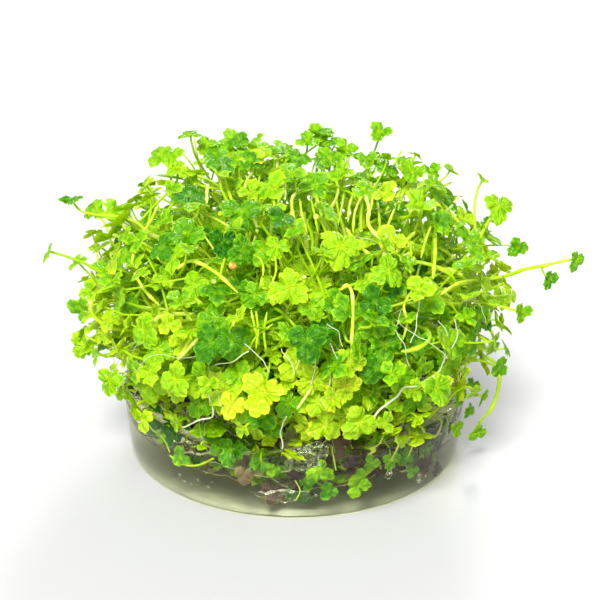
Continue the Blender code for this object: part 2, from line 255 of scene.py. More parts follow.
def leafMaterial():
    mix = Mixing("freshLeaf")
    place = mix.nodes.new("ShaderNodeUVMap")
    place.uv_map = "bladePlace"
    parts = mix.nodes.new("ShaderNodeSeparateXYZ")
    mix.links.new(place.outputs[0], parts.inputs[0])
    across = mix.maths("SUBTRACT", parts.outputs[0], 0.5)
    along = mix.maths("SUBTRACT", parts.outputs[1], 0.5)
    # veins run out like rays from where the stalk joins, and that spot is pale
    turn = mix.maths("ARCTAN2", along, across)
    ray = mix.maths("COSINE", mix.maths("MULTIPLY", turn, leafFinish["vein rays"] / 2))
    vein = mix.maths("POWER", mix.maths("ABSOLUTE", ray), leafFinish["vein sharpness"])
    far = mix.maths("SQRT", mix.maths(
        "ADD", mix.maths("MULTIPLY", across, across), mix.maths("MULTIPLY", along, along)))
    joint = mix.maths("SUBTRACT", 1.0, mix.maths("MULTIPLY", far, leafFinish["joint size"]))
    joint = mix.maths("MAXIMUM", joint, 0.0)
    blotch = mix.noise(leafFinish["blotch scale"])
    shade = mix.maths("MULTIPLY_ADD", blotch, *leafFinish["blotches"])
    shade = mix.maths("ADD", shade, mix.attribute("tint"))
    shade = mix.maths("MULTIPLY_ADD", vein, leafFinish["vein tint"], shade)
    shade = mix.maths("MULTIPLY_ADD", joint, leafFinish["joint tint"], shade)
    mix.plug(mix.ramp(leafFinish["greens"], shade), "Base Color")
    mix.set("Roughness", leafFinish["roughness"])
    mix.set("Specular IOR Level", leafFinish["specular"])
    mix.set("Specular Tint", leafFinish["sheen"])
    mix.set("IOR", leafFinish["ior"])
    dents = mix.noise(leafFinish["dent scale"], 1.0)
    dents = mix.maths("MULTIPLY_ADD", dents, leafFinish["dents"], blotch)
    relief = mix.maths("MULTIPLY_ADD", vein, leafFinish["vein depth"], dents)
    mix.bump(relief, 1.0, leafFinish["relief"])
    mix.letThrough(mix.ramp(leafFinish["glow"], shade), leafFinish["glow share"])
    return mix.finish


stalkFinish = {
    # tint 0 is a green stalk, 1 a pale one that grew in the dark
    "colours": [
        (0.00, (0.340, 0.640, 0.004)),
        (0.35, (0.560, 0.820, 0.006)),
        (0.70, (0.770, 0.915, 0.060)),
        (1.00, (0.880, 0.950, 0.300)),
    ],
    "blotch scale": 400.0,
    "blotches": 0.4,
    "roughness": 0.3,
    "specular": 0.35,
    "glow share": 0.4,
}

rootFinish = {
    # tint 0 is an old brown root, 1 a young white one
    "colours": [
        (0.00, (0.045, 0.030, 0.010)),
        (0.35, (0.190, 0.130, 0.040)),
        (0.65, (0.480, 0.450, 0.220)),
        (1.00, (0.880, 0.930, 0.620)),
    ],
    "blotch scale": 300.0,
    "blotches": 0.3,
    "roughness": 0.35,
    "specular": 0.5,
    "glow share": 0.40,
}

oldLeafFinish = {
    # tint 0 is a purple-brown leaf, 1 a pale olive one
    "colours": [
        (0.00, (0.045, 0.020, 0.028)),
        (0.40, (0.150, 0.085, 0.060)),
        (0.70, (0.260, 0.200, 0.090)),
        (1.00, (0.420, 0.440, 0.160)),
    ],
    "blotch scale": 500.0,
    "blotches": 0.5,
    "roughness": 0.5,
    "specular": 0.5,
    "glow share": 0.3,
}


def tintedMaterial(name, finish):
    # a thin part of the plant, coloured by its tint, that lets some light through
    mix = Mixing(name)
    blotches = finish["blotches"]
    shade = mix.maths("MULTIPLY_ADD", mix.noise(finish["blotch scale"]), blotches, -blotches / 2)
    shade = mix.maths("ADD", shade, mix.attribute("tint"))
    colour = mix.ramp(finish["colours"], shade)
    mix.plug(colour, "Base Color")
    mix.set("Roughness", finish["roughness"])
    mix.set("Specular IOR Level", finish["specular"])
    mix.letThrough(colour, finish["glow share"])
    return mix.finish


gelFinish = {
    "ior": 1.34,
    "roughness": 0.01,
    "tint": (0.77, 0.81, 0.26, 1.0),
    "density": 12.0,
    "skin": (0.94, 0.96, 0.76, 1.0),
    "air": (1.0, 1.0, 1.0, 1.0),
    "shadow": (0.84, 0.86, 0.66, 1.0),
    "ripple scale": 70.0,
    "ripple": 0.2,
    "ripple depth": 0.5 * mm,
}


def gelMaterial(name, soaked):
    mix = Mixing(name)
    mix.set("Base Color", gelFinish["skin"] if soaked else gelFinish["air"])
    mix.set("Transmission Weight", 1.0)
    # seen from the gel, air bends light the other way
    mix.set("IOR", gelFinish["ior"] if soaked else 1 / gelFinish["ior"])
    mix.set("Roughness", gelFinish["roughness"])
    mix.bump(mix.noise(gelFinish["ripple scale"]), gelFinish["ripple"], gelFinish["ripple depth"])
    # lamps shine through the gel as they do through the real one
    rays = mix.nodes.new("ShaderNodeLightPath")
    clear = mix.nodes.new("ShaderNodeBsdfTransparent")
    if soaked:
        clear.inputs["Color"].default_value = gelFinish["shadow"]
    both = mix.nodes.new("ShaderNodeMixShader")
    mix.links.new(rays.outputs["Is Shadow Ray"], both.inputs[0])
    mix.links.new(mix.shader.outputs[0], both.inputs[1])
    mix.links.new(clear.outputs[0], both.inputs[2])
    mix.links.new(both.outputs[0], mix.output.inputs["Surface"])
    if soaked:
        soak = mix.nodes.new("ShaderNodeVolumeAbsorption")
        soak.inputs["Color"].default_value = gelFinish["tint"]
        soak.inputs["Density"].default_value = gelFinish["density"]
        mix.links.new(soak.outputs[0], mix.output.inputs["Volume"])
    return mix.finish


budFinish = {
    "colours": [(0.3, (0.42, 0.10, 0.010)), (0.7, (0.95, 0.50, 0.090))],
    "blotch scale": 900.0,
    "roughness": 0.45,
}


def budMaterial():
    mix = Mixing("dryBud")
    mix.plug(mix.ramp(budFinish["colours"], mix.noise(budFinish["blotch scale"])), "Base Color")
    mix.set("Roughness", budFinish["roughness"])
    return mix.finish


plantSkins = [
    leafMaterial(),
    tintedMaterial("juicyStalk", stalkFinish),
    tintedMaterial("fineRoot", rootFinish),
    tintedMaterial("oldLeaf", oldLeafFinish),
    budMaterial(),
]
gelSkin = gelMaterial("clearGel", True)
pocketSkin = gelMaterial("airInGel", False)
leafNumber, stalkNumber, rootNumber, oldNumber, budNumber = range(5)
print("materials are mixed")

# the shape of the tuft, as in the solids

tuft = {
    "middle": Vector((0.0, 0.0, 42.0)) * mm,  # at the height of its widest part
    "floor": 24 * mm,
    "reach": 54.5 * mm,
    "rise": 35.5 * mm,
    "drop": 19.0 * mm,
    "dome": 2.6,
    "skirt": 4.0,
}


def outward(azimuth):
    turn = math.radians(azimuth)
    return Vector((math.cos(turn), math.sin(turn), 0.0))


def place(azimuth, height, reach):
    return outward(azimuth) * reach * mm + up * height * mm


def tuftRadius(direction):
    level = math.hypot(direction.x, direction.y)
    high = direction.z >= 0
    power = tuft["dome"] if high else tuft["skirt"]
    half = tuft["rise"] if high else tuft["drop"]
    return ((level / tuft["reach"]) ** power + (abs(direction.z) / half) ** power) ** (-1 / power)


def tuftShare(point):
    # 1 on the tuft's surface, less inside it
    away = point - tuft["middle"]
    if away.length < 0.1 * mm:
        return 0.0
    return away.length / tuftRadius(away.normalized())


def tuftNormal(point):
    here = tuftShare(point)
    slope = [tuftShare(point + Vector(axis) * 0.2 * mm) - here
             for axis in ((1, 0, 0), (0, 1, 0), (0, 0, 1))]
    return Vector(slope).normalized()


march = {"before": 90, "stride": 0.25, "steps": 700, "nearest": 70}  # along a ray, in mm


def marchTo(px, py, inside):
    # the first spot on the camera's ray through this pixel that lies inside
    eye, ray = pixelRay(px, py)
    for step in range(march["steps"]):
        spot = eye + ray * (view["distance"] - march["before"] * mm + step * march["stride"] * mm)
        if inside(spot):
            return spot
    return None


def onTuft(px, py, depth=0.0):
    # the spot on the tuft under this pixel, sunk by depth mm, or the nearest to it
    limit = 1.0 - depth * mm / tuft["reach"]
    spot = marchTo(px, py, lambda p: tuftShare(p) < limit)
    if spot is None:
        eye, ray = pixelRay(px, py)
        spots = [eye + ray * (view["distance"] + step * mm)
                 for step in range(-march["nearest"], march["nearest"])]
        spot = min(spots, key=tuftShare)
    return spot


# leaf blades: a kind is modelled once, and every leaf is a copy of one

blade = {
    "plain kinds": 16,
    "plain rim": 24,
    "plain rings": [0.34],  # how far each ring lies inside the one before
    "plain roundness": (0, 0, 0.5),
    "fine kinds": 14,
    "fine rim": 72,
    "fine rings": [0.12, 0.40],
    "fine roundness": (0, 0.3, 0.7),
    # a leaf's rim points get this much more tint: partly its own paler edge, partly painted glow of
    # light at the edge
    "pale rim and painted glow": 0.24,
    "joint": 0.12,  # how far the underside's middle hangs below the top
    "picture": 2.4,  # width of the square round a leaf that the veins are drawn in
    "seed": 5,
    # a leaf of width 2 droops, cups, domes, folds and wrinkles by these
    "droop": (-0.30, 0.32),
    "cup": (-0.22, 0.30),
    "dome": (0.06, 0.17),
    "fold": (0.0, 0.20),
    "wrinkle": (0.03, 0.09),
}
lobes = {
    # azimuth of each lobe's middle and how far it reaches
    "middles": ((-7, 7), (106, 118), (242, 254)),
    "reaches": ((0.94, 1.04), (0.82, 1.0), (0.82, 1.0)),
    "centre": 0.50,  # a lobe is a disc of this size about this centre
    "size": 0.54,
    "widest": 74,
    "lean": 0.12,
    "slit": (0.34, 0.50),  # how far from the stalk the slit between two lobes ends
    "slit of a round leaf": 0.22,
    "slit at the stalk": (0.08, 0.22),
    "by the slit": (0.85, 0.92),
    "teeth": 4,
    "tooth depth": (0.10, 0.17),
    "tooth shape": 0.6,
    "uneven": (0.97, 1.03),
}


def lobeReach(turn, depth, step):
    # reach of the rim at this turn from the lobe's middle, with small round teeth
    side = lobes["centre"] * math.sin(turn)
    disc = lobes["centre"] * math.cos(turn) + math.sqrt(max(0.0, lobes["size"] ** 2 - side ** 2))
    tooth = abs(math.cos(lobes["teeth"] * math.pi / 2 * step)) ** lobes["tooth shape"]
    return disc * (1 - depth * (1 - tooth)) / (lobes["centre"] + lobes["size"])


def lobeTable(draw, rim, roundness):
    # angle, reach, lobe, place across the lobe and wave of each point of the rim
    points = rim // 3
    middles = [draw.uniform(*span) for span in lobes["middles"]]
    reaches = [draw.uniform(*span) for span in lobes["reaches"]]
    slit = draw.uniform(*lobes["slit"]) + lobes["slit of a round leaf"] * roundness
    slitAtStalk = draw.uniform(*lobes["slit at the stalk"])
    depth = draw.uniform(*lobes["tooth depth"])
    nearSlit, shorter = lobes["by the slit"]
    table = []
    for number in range(rim):
        lobe, spot = divmod(number, points)
        step = 2 * (spot + 1) / points - 1
        after = (lobe + 1) % 3
        gap = (middles[after] - middles[lobe]) % 360 if step > 0 else (
            middles[lobe] - middles[lobe - 1]) % 360
        angle = middles[lobe] + gap / 2 * (step + lobes["lean"] * math.sin(math.pi * step))
        turn = math.radians(min(abs(angle - middles[lobe]), lobes["widest"]))
        reach = lobeReach(turn, depth, step)
        if spot == points - 1:
            reach = slitAtStalk if lobe == 1 else slit
        elif abs(step) > nearSlit:
            reach *= shorter
        reach *= reaches[lobe] * draw.uniform(*lobes["uneven"])
        table.append((math.radians(angle), reach, lobe, step, draw.uniform(-1, 1)))
    return table


def takeKind(model, edge=None):
    kind = {
        "points": np.array([v.co[:] for v in model.data.vertices]),
        "faces": [tuple(p.vertices) for p in model.data.polygons],
        "edge": edge,
    }
    bpy.data.objects.remove(model)
    return kind


def closeBelow():
    # leaves edit mode with a fan of faces over the edge that was still open
    bpy.ops.mesh.select_all(action="DESELECT")
    bpy.ops.mesh.select_non_manifold()
    bpy.ops.mesh.edge_face_add()
    bpy.ops.mesh.poke()
    bpy.ops.object.mode_set(mode="OBJECT")


def turnOutwards():
    bpy.ops.object.mode_set(mode="EDIT")
    bpy.ops.mesh.select_all(action="SELECT")
    bpy.ops.mesh.normals_make_consistent(inside=False)
    bpy.ops.object.mode_set(mode="OBJECT")


def modelBlade(name, draw, rim, rings, roundness):
    # a flat disc is inset, poked and closed below, then its points take the leaf's shape
    deselectAll()
    bpy.ops.mesh.primitive_circle_add(vertices=rim, radius=1.0, fill_type="NGON")
    leaf = bpy.context.object
    leaf.name = name
    bpy.ops.object.mode_set(mode="EDIT")
    for ring in rings:
        bpy.ops.mesh.inset(thickness=ring)
    bpy.ops.mesh.poke()
    closeBelow()
    table = lobeTable(draw, rim, roundness)
    droops = [draw.uniform(*blade["droop"]) for _ in range(3)]
    cup, dome, fold, wrinkle = [
        draw.uniform(*blade[key]) for key in ("cup", "dome", "fold", "wrinkle")]
    flats = [math.hypot(v.co.x, v.co.y) for v in leaf.data.vertices]
    lowest = max(i for i, flat in enumerate(flats) if flat < 0.1)
    for vertex, flat in zip(leaf.data.vertices, flats):
        if flat < 0.1:
            vertex.co = (0.0, 0.0, -blade["joint"] if vertex.index == lowest else 0.0)
            continue
        turn = math.atan2(vertex.co.y, vertex.co.x)
        angle, reach, lobe, step, wave = table[round(turn / (2 * math.pi) * rim) % rim]
        far = reach if flat > 0.9 else flat * reach
        height = cup * far ** 2 + droops[lobe] * far * (1 - abs(step) ** 3)
        height += dome * math.sin(math.pi * min(1.0, far)) * (1 - step ** 2)
        height += wrinkle * wave * flat ** 2 - fold * far * step ** 2
        vertex.co = (far * math.cos(angle), far * math.sin(angle), height)
    turnOutwards()
    return takeKind(leaf, np.array([float(flat > 0.9) for flat in flats]))


# sides and steps of each sort of tube
tubeSizes = {
    "stalk": (5, 5), "stem": (8, 20), "creeper": (5, 14), "thread": (3, 10), "hair": (5, 24),
}


def modelTube(name, sides, steps):
    # a straight stalk with rings along it, which each copy bends
    deselectAll()
    bpy.ops.mesh.primitive_cylinder_add(vertices=sides, radius=1.0, depth=1.0)
    tube = bpy.context.object
    tube.name = name
    bpy.ops.object.mode_set(mode="EDIT")
    bpy.ops.mesh.select_all(action="DESELECT")
    bpy.ops.mesh.select_mode(type="EDGE")
    bpy.ops.object.mode_set(mode="OBJECT")
    points = tube.data.vertices
    for edge in tube.data.edges:
        low, high = [points[i].co.z for i in edge.vertices]
        edge.select = abs(high - low) > 0.5
    bpy.ops.object.mode_set(mode="EDIT")
    bpy.ops.mesh.subdivide(number_cuts=steps - 1)
    bpy.ops.mesh.select_mode(type="VERT")
    bpy.ops.object.mode_set(mode="OBJECT")
    kind = takeKind(tube)
    kind["steps"] = steps
    kind["rings"] = np.rint((kind["points"][:, 2] + 0.5) * steps).astype(int)
    kind["turns"] = np.arctan2(kind["points"][:, 1], kind["points"][:, 0])
    return kind


def modelBud():
    # a small crumpled ball with a pointed tip
    deselectAll()
    bpy.ops.mesh.primitive_ico_sphere_add(subdivisions=3, radius=1.0)
    ball = bpy.context.object
    for vertex in ball.data.vertices:
        vertex.co += noise.noise_vector(vertex.co * 2) * bud["crumple"]
        vertex.co.z *= bud["tip"] if vertex.co.z > 0 else 1.0
    return takeKind(ball, np.zeros(len(ball.data.vertices)))


# the small orange bud that the photo shows in the tuft; its depth and width are in mm
bud = {
    "pixel": (233, 266), "depth": -3.0, "width": 1.8, "swing": -40, "nod": 70, "clear": 3.5,
    "crumple": 0.25, "tip": 1.5,
}


draw = random.Random(blade["seed"])
plainBlades, fineBlades = [
    [modelBlade(sort + "Blade", draw, blade[sort + " rim"], blade[sort + " rings"],
                draw.choice(blade[sort + " roundness"]))
     for _ in range(blade[sort + " kinds"])]
    for sort in ("plain", "fine")]
stalkTube, stemTube, creeperTube, threadTube, hairTube = [
    modelTube(sort + "Tube", *size) for sort, size in tubeSizes.items()]
smallBud = modelBud()
print("leaf blades are modelled:", len(plainBlades), "plain and", len(fineBlades), "fine")

# heaps: leaves, stalks and threads gathered into one mesh

smoothBelow = 80  # degrees between two faces


def newHeap():
    return {"points": [], "faces": [], "skins": [], "tints": [], "places": [], "count": 0}


def addToHeap(heap, points, faces, skin, tints, places):
    start = heap["count"]
    heap["points"].append(points)
    heap["faces"].extend([tuple(i + start for i in face) for face in faces])
    heap["skins"].extend([skin] * len(faces))
    heap["tints"].append(np.broadcast_to(tints, len(points)))
    heap["places"].append(places)
    heap["count"] += len(points)


def heapToPiece(heap, name, slot, *nodes):
    mesh = bpy.data.meshes.new(name)
    mesh.from_pydata(np.concatenate(heap["points"]).tolist(), [], heap["faces"])
    corners = np.zeros(len(mesh.loops), np.int32)
    mesh.loops.foreach_get("vertex_index", corners)
    flat = mesh.uv_layers.new(name="bladePlace")
    flat.data.foreach_set("uv", np.concatenate(heap["places"])[corners].astype(np.float32).ravel())
    tint = mesh.attributes.new("tint", "FLOAT", "POINT")
    tint.data.foreach_set("value", np.concatenate(heap["tints"]).astype(np.float32))
    mesh.polygons.foreach_set("material_index", np.array(heap["skins"], np.int32))
    for skin in plantSkins:
        mesh.materials.append(skin)
    piece = bpy.data.objects.new(name, mesh)
    bpy.context.scene.collection.objects.link(piece)
    deselectAll()
    piece.select_set(True)
    bpy.context.view_layer.objects.active = piece
    bpy.ops.object.shade_smooth_by_angle(angle=math.radians(smoothBelow))
    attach(piece, "root")
    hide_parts(*nodes)
    return piece


def addBlade(heap, kind, centre, normal, turn, width, tint, skin=leafNumber):
    side = normal.cross(up)
    side = side.normalized() if side.length > 0.001 else Vector((1.0, 0.0, 0.0))
    ahead = normal.cross(side)
    along = ahead * math.cos(turn) + side * math.sin(turn)
    axes = np.array([along[:], normal.cross(along)[:], normal[:]])
    points = kind["points"] @ axes * (width / 2) + np.array(centre[:])
    places = kind["points"][:, :2] / blade["picture"] + 0.5
    # the rim's extra tint is partly the edge's own colour, partly painted edge glow
    addToHeap(heap, points, kind["faces"], skin, tint + blade["pale rim and painted glow"] * kind["edge"], places)


def addTube(heap, kind, points, radii, tints, skin=stalkNumber):
    # bends a copy of the straight tube along the points, without twisting it
    spots = np.array([p[:] for p in points])
    ways = np.gradient(spots, axis=0)
    ways /= np.linalg.norm(ways, axis=1)[:, None] + 1e-12
    side = np.array(Vector(ways[0]).orthogonal().normalized()[:])
    sides = []
    for way in ways:
        side = side - way * side.dot(way)
        side /= np.linalg.norm(side) + 1e-12
        sides.append(side)
    sides = np.array(sides)
    others = np.cross(ways, sides)
    rings, turns = kind["rings"], kind["turns"]
    spokes = sides[rings] * np.cos(turns)[:, None] + others[rings] * np.sin(turns)[:, None]
    bent = spots[rings] + spokes * np.array(radii)[rings][:, None]
    places = np.stack([turns / (2 * math.pi) + 0.5, rings / kind["steps"]], 1)
    addToHeap(heap, bent, kind["faces"], skin, np.array(tints)[rings], places)


def addThread(heap, kind, route, radius, tint, skin=rootNumber):
    # a tube of one thickness and tint
    addTube(heap, kind, route, [radius] * len(route), [tint] * len(route), skin)


def curvePoints(start, startPull, end, endPull, steps):
    a, b, c, d = start, start + startPull, end - endPull, end
    shares = [i / steps for i in range(steps + 1)]
    return [a * (1 - t) ** 3 + 3 * b * t * (1 - t) ** 2 + 3 * c * t * t * (1 - t) + d * t ** 3
            for t in shares]


def randomWay(draw):
    return Vector([draw.gauss(0, 1) for _ in range(3)]).normalized()


def addStalk(heap, root, rootWay, centre, normal, width, thick, tint, kind=None):
    kind = kind or stalkTube
    steps = kind["steps"]
    under = centre - normal * (blade["joint"] * width / 2 * 0.5)  # halfway into the joint
    length = (under - root).length
    points = curvePoints(root, rootWay * length * stalks["root pull"],
                         under, normal * length * stalks["leaf pull"], steps)
    foot, less = stalks["taper"]
    radii = [thick * (foot - less * i / steps) for i in range(steps + 1)]
    tints = [tint - stalks["greener up"] * i / steps for i in range(steps + 1)]
    addTube(heap, kind, points, radii, tints)


def smoothRoute(points, steps):
    # points read evenly from a smooth curve through the route's own points
    spots = [points[0] * 2 - points[1], *points, points[-1] * 2 - points[-2]]
    spans = len(points) - 1
    route = []
    for i in range(steps + 1):
        share = min(i / steps * spans, spans - 1e-6)
        k, t = int(share), share % 1.0
        a, b, c, d = spots[k:k + 4]
        route.append((b * 2 + (c - a) * t + (a * 2 - b * 5 + c * 4 - d) * t * t
                      + (b * 3 - a - c * 3 + d) * t ** 3) / 2)
    return route


stems = {
    "radius": 0.50 * mm,
    "swelling": 0.3,
    "swell every": 7,  # steps
    "swell width": 0.6,
    "swell tint": 0.2,
    "slim end": 0.45,
    "fuller": 0.2,  # from one step to the next, away from the end
    "sunk": 6 * mm,
    "tint": 0.45,
    "arch tint": 0.40,
}


def addStem(heap, route, tint, radius=stems["radius"]):
    radii, tints = [], []
    for i in range(len(route)):
        swell = math.exp(-((i % stems["swell every"]) - 2) ** 2 / stems["swell width"])
        slim = min(1.0, stems["slim end"] + stems["fuller"] * min(i, len(route) - 1 - i))
        radii.append(radius * (slim + stems["swelling"] * swell))
        tints.append(tint + stems["swell tint"] * swell)
    addTube(heap, stemTube, route, radii, tints)


# creeping stems fill the tuft from its roots to its surface, with a node every centimetre

creepers = {
    "count": 170,
    "seed": 31,
    "base reach": 38 * mm,
    "radius": (0.40 * mm, 0.65 * mm),
    "sideways": 35,
    "rise": (-0.25, 0.97),  # sine of the height of the way out
    "ends": (0.70, 0.97),  # share of the way out to the tuft's surface
    "start pull": (0.6, 0.45),  # how much it strays, and share of the length
    "end pull": (0.8, 0.4),
    "node every": 2,  # steps
    "knot": (1.25, 0.95),  # thickness at a node and between two
    "tints": (0.20, 0.90),
    "lowest node": 3 * mm,
}


def growCreepers(heap):
    draw = random.Random(creepers["seed"])
    steps = creeperTube["steps"]
    (startStray, startShare), (endStray, endShare) = creepers["start pull"], creepers["end pull"]
    nodes = []
    for _ in range(creepers["count"]):
        azimuth = draw.uniform(0, 360)
        start = outward(azimuth) * creepers["base reach"] * draw.uniform(0, 1) ** 0.5
        start += up * tuft["floor"]
        direction = outward(azimuth + draw.gauss(0, creepers["sideways"]))
        direction += up * math.tan(math.asin(draw.uniform(*creepers["rise"])))
        direction.normalize()
        end = tuft["middle"] + direction * tuftRadius(direction) * draw.uniform(*creepers["ends"])
        length = (end - start).length
        startPull = (up + randomWay(draw) * startStray) * length * startShare
        endPull = (direction + randomWay(draw) * endStray) * length * endShare
        points = curvePoints(start, startPull, end, endPull, steps)
        thick = draw.uniform(*creepers["radius"])
        knots = [i % creepers["node every"] == 0 for i in range(steps + 1)]
        radii = [thick * creepers["knot"][0 if knot else 1] for knot in knots]
        tint = draw.uniform(*creepers["tints"])
        addTube(heap, creeperTube, points, radii, [tint] * (steps + 1))
        lowest = tuft["floor"] + creepers["lowest node"]
        nodes.extend(p for p, knot in zip(points, knots) if knot and p.z > lowest)
    return nodes


stemHeap = newHeap()
stemNodes = growCreepers(stemHeap)
nodeSpots = np.array([p[:] for p in stemNodes])
print("creeping stems have", len(stemNodes), "nodes")

stalks = {
    "shortest": 9 * mm,
    "longest": 27 * mm,
    "usual": 16 * mm,
    "radius": (0.30 * mm, 0.52 * mm),
    "radius for width": (0.7, 0.03),
    "tints": (0.2, 0.75),
    "root pull": 0.4,
    "leaf pull": 0.35,
    "greener up": 0.15,
    "taper": (1.1, 0.3),  # thickness at the root, and how much of it is lost on the way
    "lead": (0.5, 0.6),  # how much a stalk leads outwards and upwards
    "least lead": 0.5,
    "usual lead": (0.6, 0.6),
    "first way": (0.6, 0.6, 0.25),  # how much it starts upwards, to its leaf and astray
}


def rootFor(draw, centre, outside):
    # a node of a creeping stem from which a leaf's stalk can reach this spot
    ways = np.array(centre[:]) - nodeSpots
    lengths = np.linalg.norm(ways, axis=1)
    out, rise = stalks["lead"]
    leads = ways @ np.array((outside * out + up * rise)[:]) / (lengths + 1e-9)
    near = (lengths > stalks["shortest"]) & (lengths < stalks["longest"])
    fits = np.flatnonzero(near & (leads > stalks["least lead"]))
    if len(fits):
        return stemNodes[fits[draw.randrange(len(fits))]]
    out, rise = stalks["usual lead"]
    return centre - (outside * out + up * rise) * stalks["usual"]


def addLeaf(heap, draw, kind, centre, normal, turn, width, tint, stalkKind=None):
    outside = tuftNormal(centre)
    root = rootFor(draw, centre, outside)
    rise, ahead, stray = stalks["first way"]
    rootWay = up * rise + (centre - root).normalized() * ahead + randomWay(draw) * stray
    rootWay = rootWay.normalized()
    least, more = stalks["radius for width"]
    thick = draw.uniform(*stalks["radius"]) * (least + more * width / mm)
    tintOfStalk = draw.uniform(*stalks["tints"])
    addStalk(heap, root, rootWay, centre, normal, width, thick, tintOfStalk, stalkKind)
    addBlade(heap, kind, centre, normal, turn, width, tint)


# the tuft: layers of leaves over the whole of its surface

layers = [  # spacing, depth, lift and widths are in mm
    {"name": "tuftStray", "seed": 20, "spacing": 11.0, "depth": (-7.0, -3.0), "lift": 0.2,
     "thinner on top": 0.4, "widths": (5.0, 9.5, 7.0), "tint": 0.42, "level": 0.65,
     "spread": 0.55},
    {"name": "tuftOuter", "seed": 21, "spacing": 5.2, "depth": (-3.0, 3.0), "lift": 1.5,
     "thinner on top": 0.42, "widths": (5.0, 12.5, 8.5), "tint": 0.47, "level": 0.60,
     "spread": 0.60},
    # the middle and inner layers have lower tints: painted shade, darker the deeper the leaves lie
    {"name": "tuftMiddle", "seed": 22, "spacing": 6.4, "depth": (4.0, 11.0), "lift": 1.0,
     "thinner on top": 0.50, "widths": (6.0, 12.0, 8.5), "tint": 0.42, "level": 0.70,
     "spread": 0.55},
    {"name": "tuftInner", "seed": 23, "spacing": 8.0, "depth": (12.0, 20.0), "lift": 0.0,
     "thinner on top": 0.40, "widths": (7.0, 12.0, 9.0), "tint": 0.32, "level": 0.80,
     "spread": 0.50},
]
growth = {
    "tries": 9000,
    "lowest": -0.42,  # sine of the height of the lowest leaves
    "top from": 0.5,  # how far the surface has to face up to count as the top
    "low from": 60 * mm,
    "low over": 35 * mm,
    "outwards": (0.50, 0.5),  # how far a leaf faces out of the tuft, and more when it is low
    "less level": 0.45,
    "tint spread": 0.15,
    "tint when low": 0.1,
    "tint drift": (0.40, 20 * mm),
    "yellowest": 0.67,
}

# the tuft's left and right sides end above the gel
bareSide = {"beyond": 45 * mm, "below": 32 * mm}

# where the photo shows the tuft darker or yellower: pixel, size in mm and change of tint
tintPatches = [
    ((205, 235), 16, -0.16),
    ((240, 200), 14, -0.08),
    ((155, 195), 24, 0.20),
    ((290, 160), 26, 0.10),
    ((105, 250), 16, 0.08),
    ((430, 185), 18, -0.06),
    ((310, 330), 10, -0.20),
    ((290, 390), 18, 0.10),
    ((220, 400), 14, 0.06),
    ((420, 260), 20, 0.08),
    ((355, 230), 14, 0.10),
    ((380, 300), 9, -0.18),
]
tintSpots = [(onTuft(*pixel), size * mm, change) for pixel, size, change in tintPatches]

# where the photo looks between the leaves at the stalks: pixel and size in mm
openPatches = [
    ((335, 208), 10),
    ((365, 215), 8),
    ((265, 270), 7),
    ((140, 300), 8),
    ((440, 275), 8),
    ((395, 225), 6),
    ((180, 300), 6),
    ((258, 332), 6),
    ((303, 355), 5),
    ((262, 183), 7),
    ((190, 200), 6),
    ((305, 205), 6),
    ((385, 190), 6),
]
openSpots = [(onTuft(*pixel), size * mm) for pixel, size in openPatches]


def tintShift(point):
    drift, size = growth["tint drift"]
    shift = drift * noise.noise(point / size)
    for spot, size, change in tintSpots:
        shift += change * math.exp(-((point - spot).length / size) ** 2)
    return shift


def spreadSeats(draw, spacing, lowest):
    # random seats on the tuft that keep their distance from one another
    seats, cells = [], {}
    for _ in range(growth["tries"]):
        direction = outward(draw.uniform(0, 360))
        direction += up * math.tan(math.asin(draw.uniform(lowest, 1.0)))
        direction.normalize()
        seat = tuft["middle"] + direction * tuftRadius(direction)
        key = tuple(int(c // spacing) for c in seat)
        near = [other for x in (-1, 0, 1) for y in (-1, 0, 1) for z in (-1, 0, 1)
                for other in cells.get((key[0] + x, key[1] + y, key[2] + z), [])]
        if all((seat - other).length > spacing for other in near):
            seats.append(seat)
            cells.setdefault(key, []).append(seat)
    return seats


def growLayer(heap, layer, kept):
    draw = random.Random(layer["seed"])
    out, outWhenLow = growth["outwards"]
    for seat in spreadSeats(draw, layer["spacing"] * mm, growth["lowest"]):
        outside = tuftNormal(seat)
        airy = max(0.0, outside.z - growth["top from"]) * 2  # the top stands on longer stalks
        if draw.random() < airy * layer["thinner on top"]:
            continue
        centre = seat - outside * draw.uniform(*layer["depth"]) * mm
        low = max(0.0, min(1.0, (growth["low from"] - centre.z) / growth["low over"]))
        normal = outside * (out + outWhenLow * low)
        normal += up * (layer["level"] - growth["less level"] * low)
        normal = (normal + randomWay(draw) * layer["spread"]).normalized()
        width = draw.triangular(*layer["widths"]) * mm
        # a layer's tint holds painted shade for the deeper layers
        tint = layer["tint"] + tintShift(centre) + draw.gauss(0, growth["tint spread"])
        tint += growth["tint when low"] * low
        kind = draw.choice(plainBlades)
        turn = draw.uniform(0, 2 * math.pi)
        centre += up * airy * layer["lift"] * mm
        if abs(centre.x) > bareSide["beyond"] and centre.z < bareSide["below"]:
            continue
        if any((centre - spot).length < size for spot, size in openSpots + kept):
            continue
        tint = min(growth["yellowest"], max(0.0, tint))
        addLeaf(heap, draw, kind, centre, normal, turn, width, tint)


